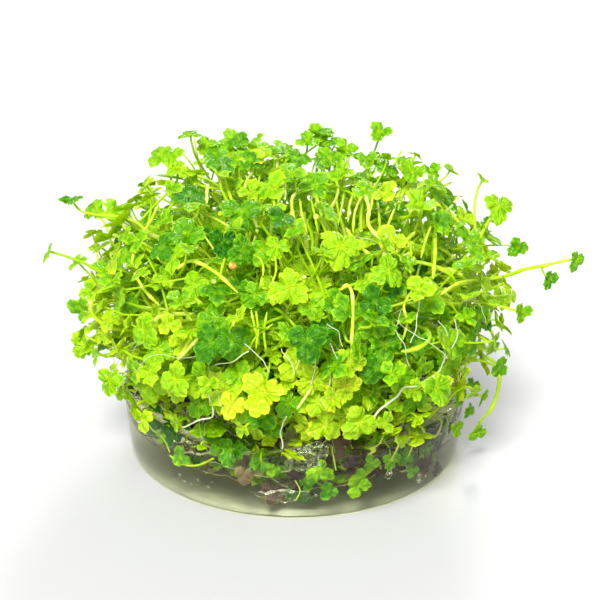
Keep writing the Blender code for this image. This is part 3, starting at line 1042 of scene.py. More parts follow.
# leaves that the photo shows one by one: pixel, width in mm, how far it leans outwards,
# how far it faces left (-) or right (+), turn about its stalk, depth in mm and tint
shownLeaves = [
    (262, 250, 9, 40, 0, 20, 1, 0.40), (430, 300, 10, 60, 20, 80, -1, 0.40),
    (240, 212, 13, 30, 0, 0, -2, 0.28), (187, 234, 12, 35, -10, 40, -1, 0.30),
    (223, 241, 9, 60, 10, 10, -1, 0.05), (243, 250, 9, 60, 30, 60, -2, 0.25),
    (277, 246, 8, 45, 0, 20, 0, 0.55), (195, 285, 9, 65, -20, 30, 0, 0.50),
    (215, 318, 10, 65, -10, 70, -1, 0.35), (231, 340, 11, 75, 0, 0, -1, 0.22),
    (158, 350, 11, 75, -20, 20, 0, 0.48), (255, 295, 8, 60, 0, 50, 0, 0.35),
    (448, 362, 10, 75, 30, 20, 0, 0.42), (376, 368, 9, 70, 10, 40, -1, 0.15),
    (420, 287, 9, 65, 20, 10, -1, 0.62), (470, 345, 9, 80, 40, 70, 0, 0.35),
    (478, 318, 9, 75, 50, 10, 0, 0.30), (375, 302, 10, 65, 10, 50, 0, 0.12),
    (346, 386, 9, 75, 5, 10, -2, 0.80), (289, 403, 9, 75, 0, 35, 1, 0.34),
    (270, 427, 8, 70, 0, 65, 1, 0.28), (205, 375, 9, 70, -20, 10, 0, 0.42),
    (313, 380, 10, 80, 0, 40, -2, 0.72),
    (300, 180, 10, 20, 0, 50, 0, 0.40), (440, 220, 10, 50, 30, 10, -1, 0.45),
    (450, 340, 10, 70, 40, 30, -1, 0.45), (262, 415, 10, 70, 0, 60, 0, 0.25),
    (125, 255, 9, 50, -60, 20, 0, 0.40), (190, 195, 12, 18, -10, 40, -1, 0.15),
    (365, 190, 9, 30, 10, 60, -1, 0.45), (145, 330, 10, 70, -40, 50, -1, 0.50),
    (150, 385, 11, 85, -30, 10, 0, 0.55), (232, 405, 8, 60, -10, 20, -3, 0.90),
    (325, 425, 10, 75, 5, 70, -1, 0.70),
    (350, 362, 9, 65, 10, 30, -2, 0.66), (415, 400, 9, 80, 25, 45, 1, 0.35),
    (385, 345, 10, 60, 15, 10, 0, 0.30), (262, 150, 9, 15, 0, 30, -3, 0.30),
    (325, 330, 9, 60, 10, 20, 1, 0.15), (372, 325, 9, 60, 20, 70, 0, 0.35),
    (400, 375, 9, 70, 20, 30, 0, 0.40), (296, 365, 10, 70, 0, 50, 1, 0.70),
    (318, 402, 8, 70, 5, 30, -1, 0.68), (180, 385, 10, 65, -20, 15, 0, 0.60),
    (240, 375, 8, 60, -10, 80, 0, 0.45), (200, 405, 9, 70, -20, 40, 1, 0.35),
    (120, 300, 9, 60, -70, 20, 0, 0.45),
]


shownSeeds = {"tuft": 77, "free": 78, "gel": 63}
shownRoom = 0.45  # the share of its width round a shown leaf that is kept free


def nodding(azimuth, nod):
    lean = math.radians(nod)
    return outward(azimuth) * math.sin(lean) + up * math.cos(lean)


def growFacing(heap, draw, centre, width, lean, swing, turn, tint):
    # a leaf at this spot that faces the viewer
    normal = nodding(toViewer + swing, lean)
    kind = draw.choice(fineBlades)
    addLeaf(heap, draw, kind, centre, normal, math.radians(turn), width * mm, tint)


def growShown(heap):
    draw = random.Random(shownSeeds["tuft"])
    kept = []
    for px, py, width, lean, swing, turn, depth, tint in shownLeaves:
        centre = onTuft(px, py, depth)
        growFacing(heap, draw, centre, width, lean, swing, turn, tint)
        kept.append((centre, width * shownRoom * mm))
    centre = onTuft(*bud["pixel"], bud["depth"])
    normal = nodding(toViewer + bud["swing"], bud["nod"])
    addBlade(heap, smallBud, centre, normal, 0.0, bud["width"] * mm, 0.0, budNumber)
    kept.append((centre, bud["clear"] * mm))
    return kept


# stems that the photo shows between the leaves: pixels, depth and radius in mm, and tint
paler = 0.12
shownStems = [
    ([(177, 269), (192, 261), (215, 272), (238, 293)], -1.3, 0.41, 0.50),
    ([(169, 294), (181, 306), (192, 321)], -0.3, 0.38, 0.40),
    ([(193, 335), (186, 347), (177, 359)], -0.3, 0.45, 0.45),
    ([(244, 308), (236, 317), (233, 327)], -0.3, 0.34, 0.60),
    ([(256, 311), (258, 330), (256, 349)], -0.3, 0.30, 0.25),
    ([(268, 215), (285, 229), (303, 238)], 1.2, 0.34, 0.40),
    ([(293, 200), (291, 218), (295, 234)], 1.2, 0.34, 0.55),
    ([(300, 200), (302, 216), (307, 232)], 2.2, 0.34, 0.35),
    ([(248, 253), (259, 258), (263, 266), (263, 276)], 1.2, 0.30, 0.35),
    ([(275, 255), (276, 271), (272, 283)], 1.2, 0.26, 0.35),
    ([(332, 171), (337, 184), (337, 196), (325, 219)], 1.2, 0.38, 0.35),
    ([(324, 177), (325, 197), (327, 217)], 3.2, 0.30, 0.25),
    ([(359, 181), (350, 203), (348, 222)], 1.2, 0.34, 0.35),
    ([(362, 195), (355, 212), (353, 232)], 0.2, 0.34, 0.45),
    ([(365, 195), (369, 209), (369, 226), (387, 245)], -0.8, 0.49, 0.65),
    ([(387, 243), (385, 250), (384, 258)], -0.8, 0.45, 0.75),
    ([(415, 232), (405, 242), (394, 255)], 0.2, 0.45, 0.45),
    ([(410, 240), (411, 254), (410, 268)], 1.2, 0.30, 0.35),
    ([(452, 182), (437, 190), (435, 202), (435, 219)], 1.2, 0.41, 0.60),
    ([(431, 226), (425, 242), (421, 258)], 1.2, 0.34, 0.40),
    ([(459, 196), (451, 207), (440, 216)], 0.2, 0.38, 0.85),
    ([(385, 240), (387, 250), (386, 259)], -0.8, 0.45, 0.90),
    ([(412, 290), (404, 306), (407, 322), (403, 340)], -0.3, 0.30, 0.55),
    ([(205, 330), (192, 345), (178, 360)], -0.8, 0.40, 0.75),
    ([(259, 345), (255, 328), (251, 310)], 1.2, 0.32, 0.40),
    ([(266, 350), (264, 332), (267, 312)], 2.2, 0.30, 0.25),
    ([(248, 350), (257, 336), (273, 324)], 1.7, 0.26, 0.35),
    ([(295, 372), (301, 358), (308, 345)], 0.7, 0.34, 0.70),
    ([(311, 375), (309, 360), (313, 346)], 1.7, 0.28, 0.40),
    ([(297, 409), (304, 399), (312, 387)], -2.5, 0.30, 0.85),
    ([(435, 230), (435, 255), (433, 279)], 0.2, 0.45, 0.45),
    ([(440, 295), (453, 286), (466, 281), (500, 277)], -0.8, 0.38, 0.50),
    ([(463, 300), (474, 296), (485, 290)], -0.8, 0.45, 0.65),
    ([(341, 290), (347, 285), (352, 293), (353, 315), (352, 337), (352, 357)], -1.3, 0.42, 0.60),
    ([(111, 234), (123, 238), (134, 242), (132, 264)], -0.3, 0.45, 0.60),
    ([(97, 253), (98, 263), (99, 273)], 1.2, 0.30, 0.35),
    ([(134, 273), (140, 283), (146, 292), (159, 305)], -0.3, 0.38, 0.50),
    ([(194, 137), (197, 155), (201, 171)], 1.2, 0.26, 0.30),
    ([(182, 153), (189, 161), (196, 171)], 1.2, 0.26, 0.30),
    ([(345, 180), (343, 200), (338, 225)], 4.2, 0.34, 0.30),
    ([(372, 185), (378, 205), (380, 230)], 3.2, 0.34, 0.30),
    ([(310, 195), (314, 212), (318, 232)], 3.2, 0.30, 0.30),
    ([(258, 157), (254, 170), (246, 182), (245, 196)], -0.8, 0.38, 0.50),
    ([(278, 153), (277, 160), (277, 168)], -0.8, 0.45, 0.75),
    ([(208, 184), (207, 193), (207, 203)], -0.8, 0.45, 0.80),
    ([(197, 183), (183, 195), (168, 209)], -0.3, 0.36, 0.40),
    ([(176, 190), (186, 201), (195, 214)], -0.3, 0.38, 0.40),
    ([(272, 180), (273, 195), (276, 216)], -0.3, 0.38, 0.40),
    ([(285, 175), (285, 187), (285, 199)], -0.8, 0.50, 0.75),
    ([(313, 187), (300, 191), (292, 199), (293, 215), (296, 234)], -0.3, 0.42, 0.60),
    ([(314, 184), (318, 203), (324, 221)], -0.3, 0.38, 0.40),
    ([(348, 152), (348, 160), (348, 170)], -0.8, 0.45, 0.75),
    ([(402, 150), (398, 157), (394, 165)], -0.3, 0.30, 0.35),
    ([(386, 184), (374, 195), (371, 210)], -0.3, 0.36, 0.35),
    ([(395, 208), (390, 220), (385, 233)], -0.3, 0.34, 0.40),
    ([(346, 228), (357, 244), (374, 258)], -0.3, 0.42, 0.55),
    ([(246, 156), (242, 161), (238, 167)], -0.8, 0.28, 0.30),
    ([(158, 205), (150, 222), (138, 240)], -0.3, 0.38, 0.55),
    ([(225, 258), (222, 268), (219, 280)], -0.3, 0.32, 0.35),
    ([(411, 180), (402, 195), (398, 210)], -0.3, 0.34, 0.40),
]


# leaves that hang beside the gel or stand over the top: pixel, how far in front of the middle
# in mm, width, lean, swing, turn and tint
freeLeaves = [
    (461, 396, 20, 6.5, 80, 40, 20, 0.35), (470, 410, 16, 5.5, 85, 60, 60, 0.28),
    (457, 428, 25, 5.5, 90, 30, 10, 0.45), (473, 386, 14, 6.0, 75, 50, 40, 0.30),
    (121, 392, 22, 6.0, 80, -40, 30, 0.45),
    (207, 143, -22, 8.0, 25, -20, 10, 0.50), (232, 139, -24, 9.0, 35, 10, 60, 0.42),
    (247, 144, -20, 8.0, 15, 0, 30, 0.42), (262, 148, -12, 8.0, 25, 0, 80, 0.55),
    (286, 150, -16, 7.5, 15, 20, 0, 0.35), (308, 141, -22, 8.0, 20, -10, 50, 0.40),
    (322, 134, -28, 9.0, 25, 10, 20, 0.48), (336, 141, -22, 8.0, 10, 0, 70, 0.30),
    (346, 147, -16, 8.0, 35, 20, 40, 0.45), (297, 158, -6, 8.5, 25, -10, 20, 0.30),
    (171, 154, -12, 8.5, 30, -20, 0, 0.52), (178, 168, -8, 7.5, 30, -20, 50, 0.58),
    (215, 154, -12, 8.0, 30, -10, 30, 0.30), (223, 165, 0, 9.5, 25, 0, 80, 0.22),
    (366, 160, -15, 8.0, 20, 10, 10, 0.40), (386, 167, -8, 8.0, 30, 20, 60, 0.35),
    (412, 172, 0, 8.5, 40, 20, 30, 0.45), (431, 171, -4, 7.0, 30, 30, 0, 0.40),
    (251, 160, -6, 8.5, 20, 0, 45, 0.25), (330, 158, -8, 8.5, 30, 0, 15, 0.38),
]


def growFreeLeaves(heap):
    draw = random.Random(shownSeeds["free"])
    for px, py, front, width, lean, swing, turn, tint in freeLeaves:
        eye, ray = pixelRay(px, py)
        centre = eye + ray * ((-front * mm - eye.y) / ray.y)
        growFacing(heap, draw, centre, width, lean, swing, turn, tint)


def growShownStems(heap):
    for pixels, depth, radius, tint in shownStems:
        route = smoothRoute([onTuft(*pixel, depth) for pixel in pixels], stemTube["steps"])
        addStem(heap, route, tint + paler, radius * mm)


# fine white roots hang from the nodes; the photo shows some of them one by one
hairs = {
    "count": 260,
    "seed": 51,
    "radius": (0.05 * mm, 0.10 * mm),
    "stride": (0.8 * mm, 2.0 * mm),
    "depth": -2.5,
    "wave": 0.9,
    "wave size": 4 * mm,
    "below": 60 * mm,
    "share out": 0.6,  # hairs start in the outer part of the tuft
    "first way": (0.8, 0.4),  # how much they start astray and downwards
    "next way": (0.35, 0.12),
    "tint": 0.95,
}
shownHairs = [
    ([(181, 427), (198, 421), (214, 415), (211, 394)], 0.22),
    ([(282, 448), (281, 435), (285, 417)], 0.18),
    ([(366, 425), (375, 416), (388, 405), (405, 389)], 0.30),
    ([(405, 389), (420, 384), (433, 375)], 0.25),
    ([(311, 351), (317, 354), (316, 368), (310, 384)], 0.11),
    ([(283, 347), (287, 359), (294, 373)], 0.11),
    ([(327, 323), (339, 332), (343, 346)], 0.10),
    ([(331, 373), (327, 386), (327, 398)], 0.12),
    ([(322, 398), (326, 407), (334, 412)], 0.11),
    ([(245, 345), (251, 349), (257, 353)], 0.11),
    ([(385, 232), (388, 238), (392, 244)], 0.12),
    ([(455, 320), (457, 333), (450, 350), (436, 370)], 0.14),
    ([(118, 360), (112, 372), (102, 385)], 0.10),
    ([(125, 362), (122, 378), (118, 392)], 0.10),
    ([(250, 352), (235, 362), (215, 366)], 0.16),
    ([(256, 352), (264, 362), (270, 372)], 0.12),
    ([(420, 300), (418, 320), (410, 345)], 0.14),
    ([(440, 320), (447, 338), (443, 362)], 0.12),
    ([(330, 345), (338, 362), (341, 380)], 0.12),
    ([(395, 330), (404, 348), (408, 366)], 0.12),
]


def growHairs(heap):
    draw = random.Random(hairs["seed"])
    for pixels, radius in shownHairs:
        route = smoothRoute([onTuft(*pixel, hairs["depth"]) for pixel in pixels], hairTube["steps"])
        route = [point + noise.noise_vector(point / hairs["wave size"]) * hairs["wave"] * mm
                 for point in route]
        addThread(heap, hairTube, route, radius * mm, 1.0)
    low = [node for node in stemNodes
           if node.z < hairs["below"] and tuftShare(node) > hairs["share out"]]
    for _ in range(hairs["count"]):
        point = low[draw.randrange(len(low))]
        stray, fall = hairs["first way"]
        way = (tuftNormal(point) + randomWay(draw) * stray - up * fall).normalized()
        stride = draw.uniform(*hairs["stride"])
        stray, fall = hairs["next way"]
        route = []
        for _ in range(threadTube["steps"] + 1):
            route.append(point)
            way = (way + randomWay(draw) * stray - up * fall).normalized()
            point = point + way * stride
        addThread(heap, threadTube, route, draw.uniform(*hairs["radius"]), hairs["tint"])


shownHeap = newHeap()
keptSpots = growShown(shownHeap)
growShownStems(shownHeap)
growFreeLeaves(shownHeap)
growHairs(shownHeap)
heapToPiece(shownHeap, "frontLeaves", "cushion", "leaf_cushion")
heapToPiece(stemHeap, "creepingStems", "cushion", "leaf_cushion")
for layer in layers:
    heap = newHeap()
    growLayer(heap, layer, keptSpots)
    piece = heapToPiece(heap, layer["name"], "cushion", "leaf_cushion")
    print(layer["name"], "has", len(piece.data.polygons), "faces")

# the single leaves that reach out of the tuft, each in place of its solid: azimuth, height
# and reach of the blade, its width, how far it nods outwards, its turn and its tint

singleLeaves = {
    "leaf_left_high": (-175, 74, 59, 8, 10, 20, 0.20),
    "leaf_left_far": (-169, 62, 66, 7, 70, 0, 0.45),
    "leaf_left_shoulder": (176, 68, 54, 8, 40, 60, 0.45),
    "leaf_left_edge": (-165, 36, 58.5, 9, 75, 30, 0.60),
    "leaf_left_hanging": (-171, 44, 58, 9, 95, 100, 0.35),
    "leaf_left_lower": (-140, 37, 61, 9, 70, 10, 0.50),
    "leaf_top_left_outer": (161, 81, 39, 9, 35, 15, 0.45),
    "leaf_top_left_tall": (148, 85, 34, 8, 8, 50, 0.40),
    "leaf_top_left_small": (144, 83, 27, 6, 12, 0, 0.45),
    "leaf_top_left_cup": (128, 83, 25, 8, 25, 80, 0.25),
    "leaf_top_middle_left": (113, 81, 15, 9, 12, 30, 0.30),
    "leaf_top_middle_back": (74, 83, 27, 9, 15, 10, 0.30),
    "leaf_top_middle_right": (50, 81, 21, 9, 20, 70, 0.45),
    "leaf_top_right_tall": (45, 84, 34, 8, 35, 40, 0.38),
    "leaf_top_right_bud": (30, 79, 39, 5, 30, 0, 0.65),
    "leaf_right_shoulder": (18, 76, 45, 7, 25, 20, 0.50),
    "leaf_right_shoulder_small": (4, 77, 51, 5, 30, 90, 0.50),
    "leaf_right_shoulder_outer": (-6, 72, 54.5, 10, 50, 10, 0.50),
    "leaf_right_middle": (-9, 62, 60, 7, 75, 40, 0.30),
    "leaf_right_low": (-19, 48, 63, 7, 80, 20, 0.40),
    "leaf_right_lowest": (-25, 34, 59.5, 7, 85, 70, 0.30),
    "leaf_right_fallen": (-12, 19, 53, 7, 105, 30, 0.45),
    "leaf_front_crinkled": (-74, 73, 41, 13, 45, 25, 0.58),
    "leaf_front_bright": (-91, 67, 51, 12, 50, 60, 0.62),
    "leaf_front_dark": (-87, 57, 60, 12, 65, 0, 0.12),
    "leaf_front_left": (-109, 55, 60, 12, 60, 35, 0.15),
    "leaf_front_right": (-62, 68, 49, 10, 50, 80, 0.50),
    "leaf_front_yellow": (-97, 44, 61, 12, 75, 15, 0.76),
    "leaf_front_round": (-75, 35, 61, 11, 80, 45, 0.60),
    "leaf_front_left_low": (-118, 44, 61, 11, 72, 70, 0.58),
    "leaf_front_right_low": (-55, 40, 61, 9, 75, 5, 0.45),
    "leaf_front_left_high": (-136, 70, 46, 9, 45, 50, 0.20),
    "leaf_back_right": (28, 52, 62, 11, 65, 0, 0.45),
    "leaf_back_right_high": (62, 70, 50, 10, 45, 30, 0.20),
    "leaf_back_middle": (92, 58, 60, 11, 60, 60, 0.70),
    "leaf_back_low": (76, 37, 61, 10, 78, 20, 0.75),
    "leaf_back_left": (131, 48, 62, 11, 65, 80, 0.50),
    "leaf_back_left_high": (112, 74, 44, 9, 40, 45, 0.20),
    "leaf_back_left_far": (158, 62, 63, 8, 60, 10, 0.45),
}
singlesSeed = 41

# single leaves whose blade turns to another side than the one it stands on
facing = {
    "leaf_left_shoulder": -120,
    "leaf_left_edge": -105,
    "leaf_left_hanging": -135,
    "leaf_left_lower": -115,
    "leaf_top_right_tall": -80,
    "leaf_top_left_outer": -120,
    "leaf_top_left_cup": -100,
    "leaf_right_shoulder_outer": -75,
    "leaf_right_middle": -80,
    "leaf_right_low": -50,
    "leaf_right_lowest": -60,
    "leaf_right_far": -50,
    "leaf_right_bottom": -60,
}


def slotOf(node):
    parts = frame["record"]["subparts"]
    return next(part["material_slot"] for part in parts if part["node"] == node)


def growSingles():
    draw = random.Random(singlesSeed)
    for node, (azimuth, height, reach, width, nod, turn, tint) in singleLeaves.items():
        heap = newHeap()
        kind = fineBlades[draw.randrange(len(fineBlades))]
        normal = nodding(facing.get(node, azimuth), nod)
        addLeaf(heap, draw, kind, place(azimuth, height, reach), normal,
                math.radians(turn), width * mm, tint, creeperTube)
        heapToPiece(heap, node + "_grown", slotOf(node), node)


growSingles()
print("single leaves are grown:", len(singleLeaves))

# creeping stems that leave the tuft or arch over it, each in place of its solid

reachingStems = {
    "stem_right_long": [(-13, 50, 40), (-13, 55, 57), (-15, 58, 62), (-16, 60, 67), (-15, 61, 71)],
    "stem_right_hanging": [
        (-20, 36, 42), (-16, 33, 52), (-16, 30, 57), (-17, 24, 57.5), (-17, 18, 56), (-16, 13, 53)],
    "stem_back_long": [(98, 46, 42), (100, 52, 58), (104, 55, 62), (107, 58, 67)],
}
# azimuth and height of an arch's foot, those of its other foot, and its rise
archingStems = {
    "stem_front_left_arch": (-127, 60, -106, 54, 8),
    "stem_right_arch": (-44, 64, -30, 54, 8),
    "stem_front_right_arch": (-66, 47, -47, 50, 10),
    "stem_back_arch": (42, 57, 60, 51, 10),
    "stem_left_arch": (-162, 54, -152, 43, 11),
}
# a leaf halfway along: step, way from the stem in mm, width, swing, nod, turn and tint
sideLeaves = {"stem_right_long": (15, (2, -1, -3), 6.5, 35, 85, 30, 0.25)}
sideStalk = {"radius": 0.3 * mm, "tint": 0.4, "blade": 3}
# the leaf at a stem's end: its stem, width, nod, turn and tint
tipLeaves = {
    "leaf_right_far": ("stem_right_long", 7, 80, 30, 0.35),
    "leaf_right_bottom": ("stem_right_hanging", 7, 95, 50, 0.40),
    "leaf_back_far": ("stem_back_long", 8, 70, 0, 0.45),
}
tipStalk = {"ahead": 3.35, "above": 2, "inside": 0.5, "radius": 0.45 * mm, "tint": 0.5, "blade": 0}

mass = {"reach": 48.0 * mm, "rise": 28.0 * mm, "drop": 18.5 * mm}  # the solid under the leaves


def massSpot(azimuth, height):
    # the spot on that solid at this azimuth and height
    rise = height * mm - tuft["middle"].z
    power, half = (tuft["dome"], mass["rise"]) if rise >= 0 else (tuft["skirt"], mass["drop"])
    share = max(0.0, 1 - (abs(rise) / half) ** power) ** (1 / power)
    return outward(azimuth) * mass["reach"] * share + up * height * mm


def growStems():
    steps = stemTube["steps"]
    ends = {}
    for node, places in reachingStems.items():
        route = smoothRoute([place(*spot) for spot in places], steps)
        heap = newHeap()
        addStem(heap, route, stems["tint"])
        if node in sideLeaves:
            step, way, width, swing, nod, turn, tint = sideLeaves[node]
            normal = nodding(toViewer + swing, nod)
            centre = route[step] + Vector(way) * mm
            addStalk(heap, route[step], -up, centre, normal, width * mm, sideStalk["radius"],
                     sideStalk["tint"])
            kind = fineBlades[sideStalk["blade"]]
            addBlade(heap, kind, centre, normal, math.radians(turn), width * mm, tint)
        heapToPiece(heap, node + "_grown", "stem", node)
        ends[node] = (route[-1], (route[-1] - route[-2]).normalized())
    for node, (stem, width, nod, turn, tint) in tipLeaves.items():
        tip, ahead = ends[stem]
        azimuth = math.degrees(math.atan2(tip.y, tip.x))
        normal = nodding(facing.get(node, azimuth), nod)
        centre = tip + ahead * tipStalk["ahead"] * mm + normal * tipStalk["above"] * mm
        heap = newHeap()
        addStalk(heap, tip - ahead * tipStalk["inside"] * mm, ahead, centre, normal, width * mm,
                 tipStalk["radius"], tipStalk["tint"])
        kind = fineBlades[tipStalk["blade"]]
        addBlade(heap, kind, centre, normal, math.radians(turn), width * mm, tint)
        heapToPiece(heap, node + "_grown", slotOf(node), node)
    for node, (azimuth1, height1, azimuth2, height2, rise) in archingStems.items():
        start, end = massSpot(azimuth1, height1), massSpot(azimuth2, height2)
        startWay, endWay = [(spot - tuft["middle"]).normalized() for spot in (start, end)]
        start, end = start - startWay * stems["sunk"], end - endWay * stems["sunk"]
        pull = (rise * mm + stems["sunk"]) * 4 / 3
        heap = newHeap()
        route = curvePoints(start, startWay * pull, end, -endWay * pull, steps)
        addStem(heap, route, stems["arch tint"])
        heapToPiece(heap, node + "_grown", "stem", node)


growStems()
print("creeping stems are grown:", len(reachingStems) + len(archingStems))

# gel: a turned puck with a hollow, its rim and hollow ragged as in the solids

gel = {
    "segments": 128,
    "foot radius": 43.3 * mm,
    "radius": 46.5 * mm,
    "top radius": 47.8 * mm,
    "foot round": 3.2 * mm,
    "rim height": 20.5 * mm,
    "rim ragged": 1.6 * mm,
    "rim width": 4.0 * mm,
    "rim round": 0.8 * mm,
    "rim fall": 0.5 * mm,
    "hollow foot": 39.5 * mm,
    "hollow ragged": 1.5 * mm,
    "hollow floor": 7.0 * mm,
    "floor tilt": 2.0 * mm,
    "deep side": -40.0,
    "closed top": 17.0 * mm,  # where the gel has closed over what it holds
    "open floor": 12.5 * mm,
    "open side": -155.0,
    "open width": 27.0,
    "ragged rate": 2.1,
    "rim seed": 1.7,
    "hollow seed": 4.2,
    "crinkle": 0.9 * mm,
    "crinkle size": 7.0 * mm,
    "smooth rings": 11,  # from the foot to the rim's top, without crinkles
    "rougher over": 4,  # rings
    "smooth below": 60,  # degrees between two faces
}


def around(azimuth, seed):
    rate = gel["ragged rate"]
    return noise.noise(Vector((rate * math.cos(azimuth), rate * math.sin(azimuth), seed)))


def rimHeight(azimuth):
    return gel["rim height"] + 2 * gel["rim ragged"] * around(azimuth, gel["rim seed"])


def hollowFoot(azimuth):
    return gel["hollow foot"] + 2 * gel["hollow ragged"] * around(azimuth, gel["hollow seed"])


def hollowFloor(azimuth):
    tilt = math.cos(azimuth - math.radians(gel["deep side"]))
    return gel["hollow floor"] - gel["floor tilt"] * tilt


def topHeight(azimuth):
    # the gel has closed over what it holds, and left a hollow on one side only
    turn = (math.degrees(azimuth) - gel["open side"] + 180) % 360 - 180
    share = math.exp(-(turn / gel["open width"]) ** 4)
    return gel["closed top"] + (gel["open floor"] - gel["closed top"]) * share


def gelProfile(azimuth):
    # radius and height of each ring at this azimuth, from the foot over the rim to the floor
    foot, footRound, rim = gel["foot radius"], gel["foot round"], rimHeight(azimuth)
    rings = []
    for turn in (0, 22, 45, 68, 90):
        lean = math.radians(turn)
        rings.append((foot + (gel["radius"] - foot) * math.sin(lean),
                      footRound * (1 - math.cos(lean))))
    top, edge = gel["top radius"], gel["rim round"]
    for share in (0.2, 0.4, 0.6, 0.8):
        rings.append((gel["radius"] + (top - gel["radius"]) * share,
                      footRound + (rim - edge - footRound) * share))
    rings += [(top, rim - edge), (top - 0.3 * edge, rim - 0.3 * edge), (top - edge, rim)]
    inner, innerHeight = top - gel["rim width"], rim - gel["rim fall"]
    rings += [(inner + edge, innerHeight), (inner + 0.3 * edge, innerHeight - 0.3 * edge)]
    low, floor = hollowFoot(azimuth), topHeight(azimuth)
    for share in (0.06, 0.2, 0.35, 0.5, 0.65, 0.8, 0.93):
        rings.append((inner + (low - inner) * share, innerHeight + (floor - innerHeight) * share))
    for share in (0.97, 0.88, 0.75, 0.6, 0.4, 0.2):
        rings.append((low * share, floor + (gel["closed top"] - floor) * (1 - share)))
    return rings


def modelGel():
    deselectAll()
    count = gel["segments"]
    bpy.ops.mesh.primitive_circle_add(vertices=count, radius=gel["foot radius"])
    puck = bpy.context.object
    puck.name = "gelPuck"
    ringCount = len(gelProfile(0.0))
    bpy.ops.object.mode_set(mode="EDIT")
    for _ in range(ringCount - 1):
        bpy.ops.mesh.extrude_region_move(TRANSFORM_OT_translate={"value": (0, 0, mm)})
    bpy.ops.mesh.edge_face_add()  # the hollow's floor
    bpy.ops.mesh.poke()
    closeBelow()
    for vertex in puck.data.vertices:
        if math.hypot(vertex.co.x, vertex.co.y) < mm:
            if vertex.co.z > mm:
                vertex.co.z = gel["closed top"]
            continue
        azimuth = math.atan2(vertex.co.y, vertex.co.x)
        ring = round(vertex.co.z / mm)
        radius, height = gelProfile(azimuth)[ring]
        spot = outward(math.degrees(azimuth)) * radius + up * height
        rough = ring - gel["smooth rings"]
        if rough > 0:
            crinkle = noise.noise_vector(spot / gel["crinkle size"]) * gel["crinkle"]
            crinkle += noise.noise_vector(spot / gel["crinkle size"] * 3) * gel["crinkle"] * 0.3
            spot += crinkle * min(1.0, rough / gel["rougher over"])
        vertex.co = spot
    turnOutwards()
    bpy.ops.object.shade_smooth_by_angle(angle=math.radians(gel["smooth below"]))
    puck.data.materials.append(gelSkin)
    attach(puck, "root")
    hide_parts("gel")


modelGel()
print("gel is modelled")

# what the gel holds: a tangle of roots, old leaves and leaves that grew into it

tangle = {
    "threads": 520,
    "radius": (0.10 * mm, 0.30 * mm),
    "stride": 3.2 * mm,
    "seed": 61,
    "reach": 42,
    "heights": (6, 24),
    "turning": 0.7,
    "flatter": 0.7,
    "tints": (0.1, 0.2, 0.3, 0.45, 0.6, 0.95),
    "clear of wall": 1.4 * mm,
    "top": 25 * mm,
}


def inHollow(point, clear):
    # the point, moved inside the gel's hollow
    azimuth = math.atan2(point.y, point.x)
    floor = hollowFloor(azimuth) + clear
    height = min(max(point.z, floor), tangle["top"])
    share = min(1.0, (height - floor) / (rimHeight(azimuth) - floor))
    low = hollowFoot(azimuth)
    limit = low + (gel["top radius"] - gel["rim width"] - low) * share - clear
    level = Vector((point.x, point.y, 0.0))
    if level.length > limit:
        level = level.normalized() * limit
    return level + up * height


def growTangle():
    heap = newHeap()
    draw = random.Random(tangle["seed"])
    for _ in range(tangle["threads"]):
        azimuth = draw.uniform(0, 360)
        point = outward(azimuth) * tangle["reach"] * mm * draw.uniform(0, 1) ** 0.35
        point += up * draw.uniform(*tangle["heights"]) * mm
        way = randomWay(draw)
        points = []
        for _ in range(threadTube["steps"] + 1):
            point = inHollow(point, tangle["clear of wall"])
            points.append(point)
            way = (way + randomWay(draw) * tangle["turning"]).normalized()
            way.z *= tangle["flatter"]
            point = point + way * tangle["stride"]
        tint = draw.choice(tangle["tints"])
        addThread(heap, threadTube, points, draw.uniform(*tangle["radius"]), tint)
    return heap


gelLeaves = {
    "count": 190,
    "seed": 62,
    "widths": (5.0, 10.0),
    "reaches": (24, 42),
    "heights": (7, 23),
    "old share": 0.4,
    "old tints": (0.0, 0.9),
    "tints": (0.05, 0.55),
    "clear of wall": 3.0 * mm,
    "facing": (0.2, 0.6),  # how much a leaf faces upwards and astray
    "stalk": 7,
    "stalk rise": (-5, 5),
    "stalk radius": 0.3 * mm,
    "stalk tints": (0.2, 0.7),
    "stalk clear": 1.5 * mm,
}


def growGelLeaves(heap):
    draw = random.Random(gelLeaves["seed"])
    for _ in range(gelLeaves["count"]):
        azimuth = draw.uniform(0, 360)
        point = outward(azimuth) * draw.uniform(*gelLeaves["reaches"]) * mm
        point += up * draw.uniform(*gelLeaves["heights"]) * mm
        centre = inHollow(point, gelLeaves["clear of wall"])
        rise, stray = gelLeaves["facing"]
        normal = (outward(azimuth) + up * rise + randomWay(draw) * stray).normalized()
        width = draw.uniform(*gelLeaves["widths"]) * mm
        old = draw.random() < gelLeaves["old share"]
        tint = draw.uniform(*gelLeaves["old tints" if old else "tints"])
        turn = draw.uniform(0, 2 * math.pi)
        addBlade(heap, draw.choice(plainBlades), centre, normal, turn, width, tint,
                 oldNumber if old else leafNumber)
        root = centre - normal * gelLeaves["stalk"] * mm
        root += up * draw.uniform(*gelLeaves["stalk rise"]) * mm
        root = inHollow(root, gelLeaves["stalk clear"])
        rootWay = randomWay(draw)
        addStalk(heap, root, rootWay, centre, normal, width, gelLeaves["stalk radius"],
                 draw.uniform(*gelLeaves["stalk tints"]))


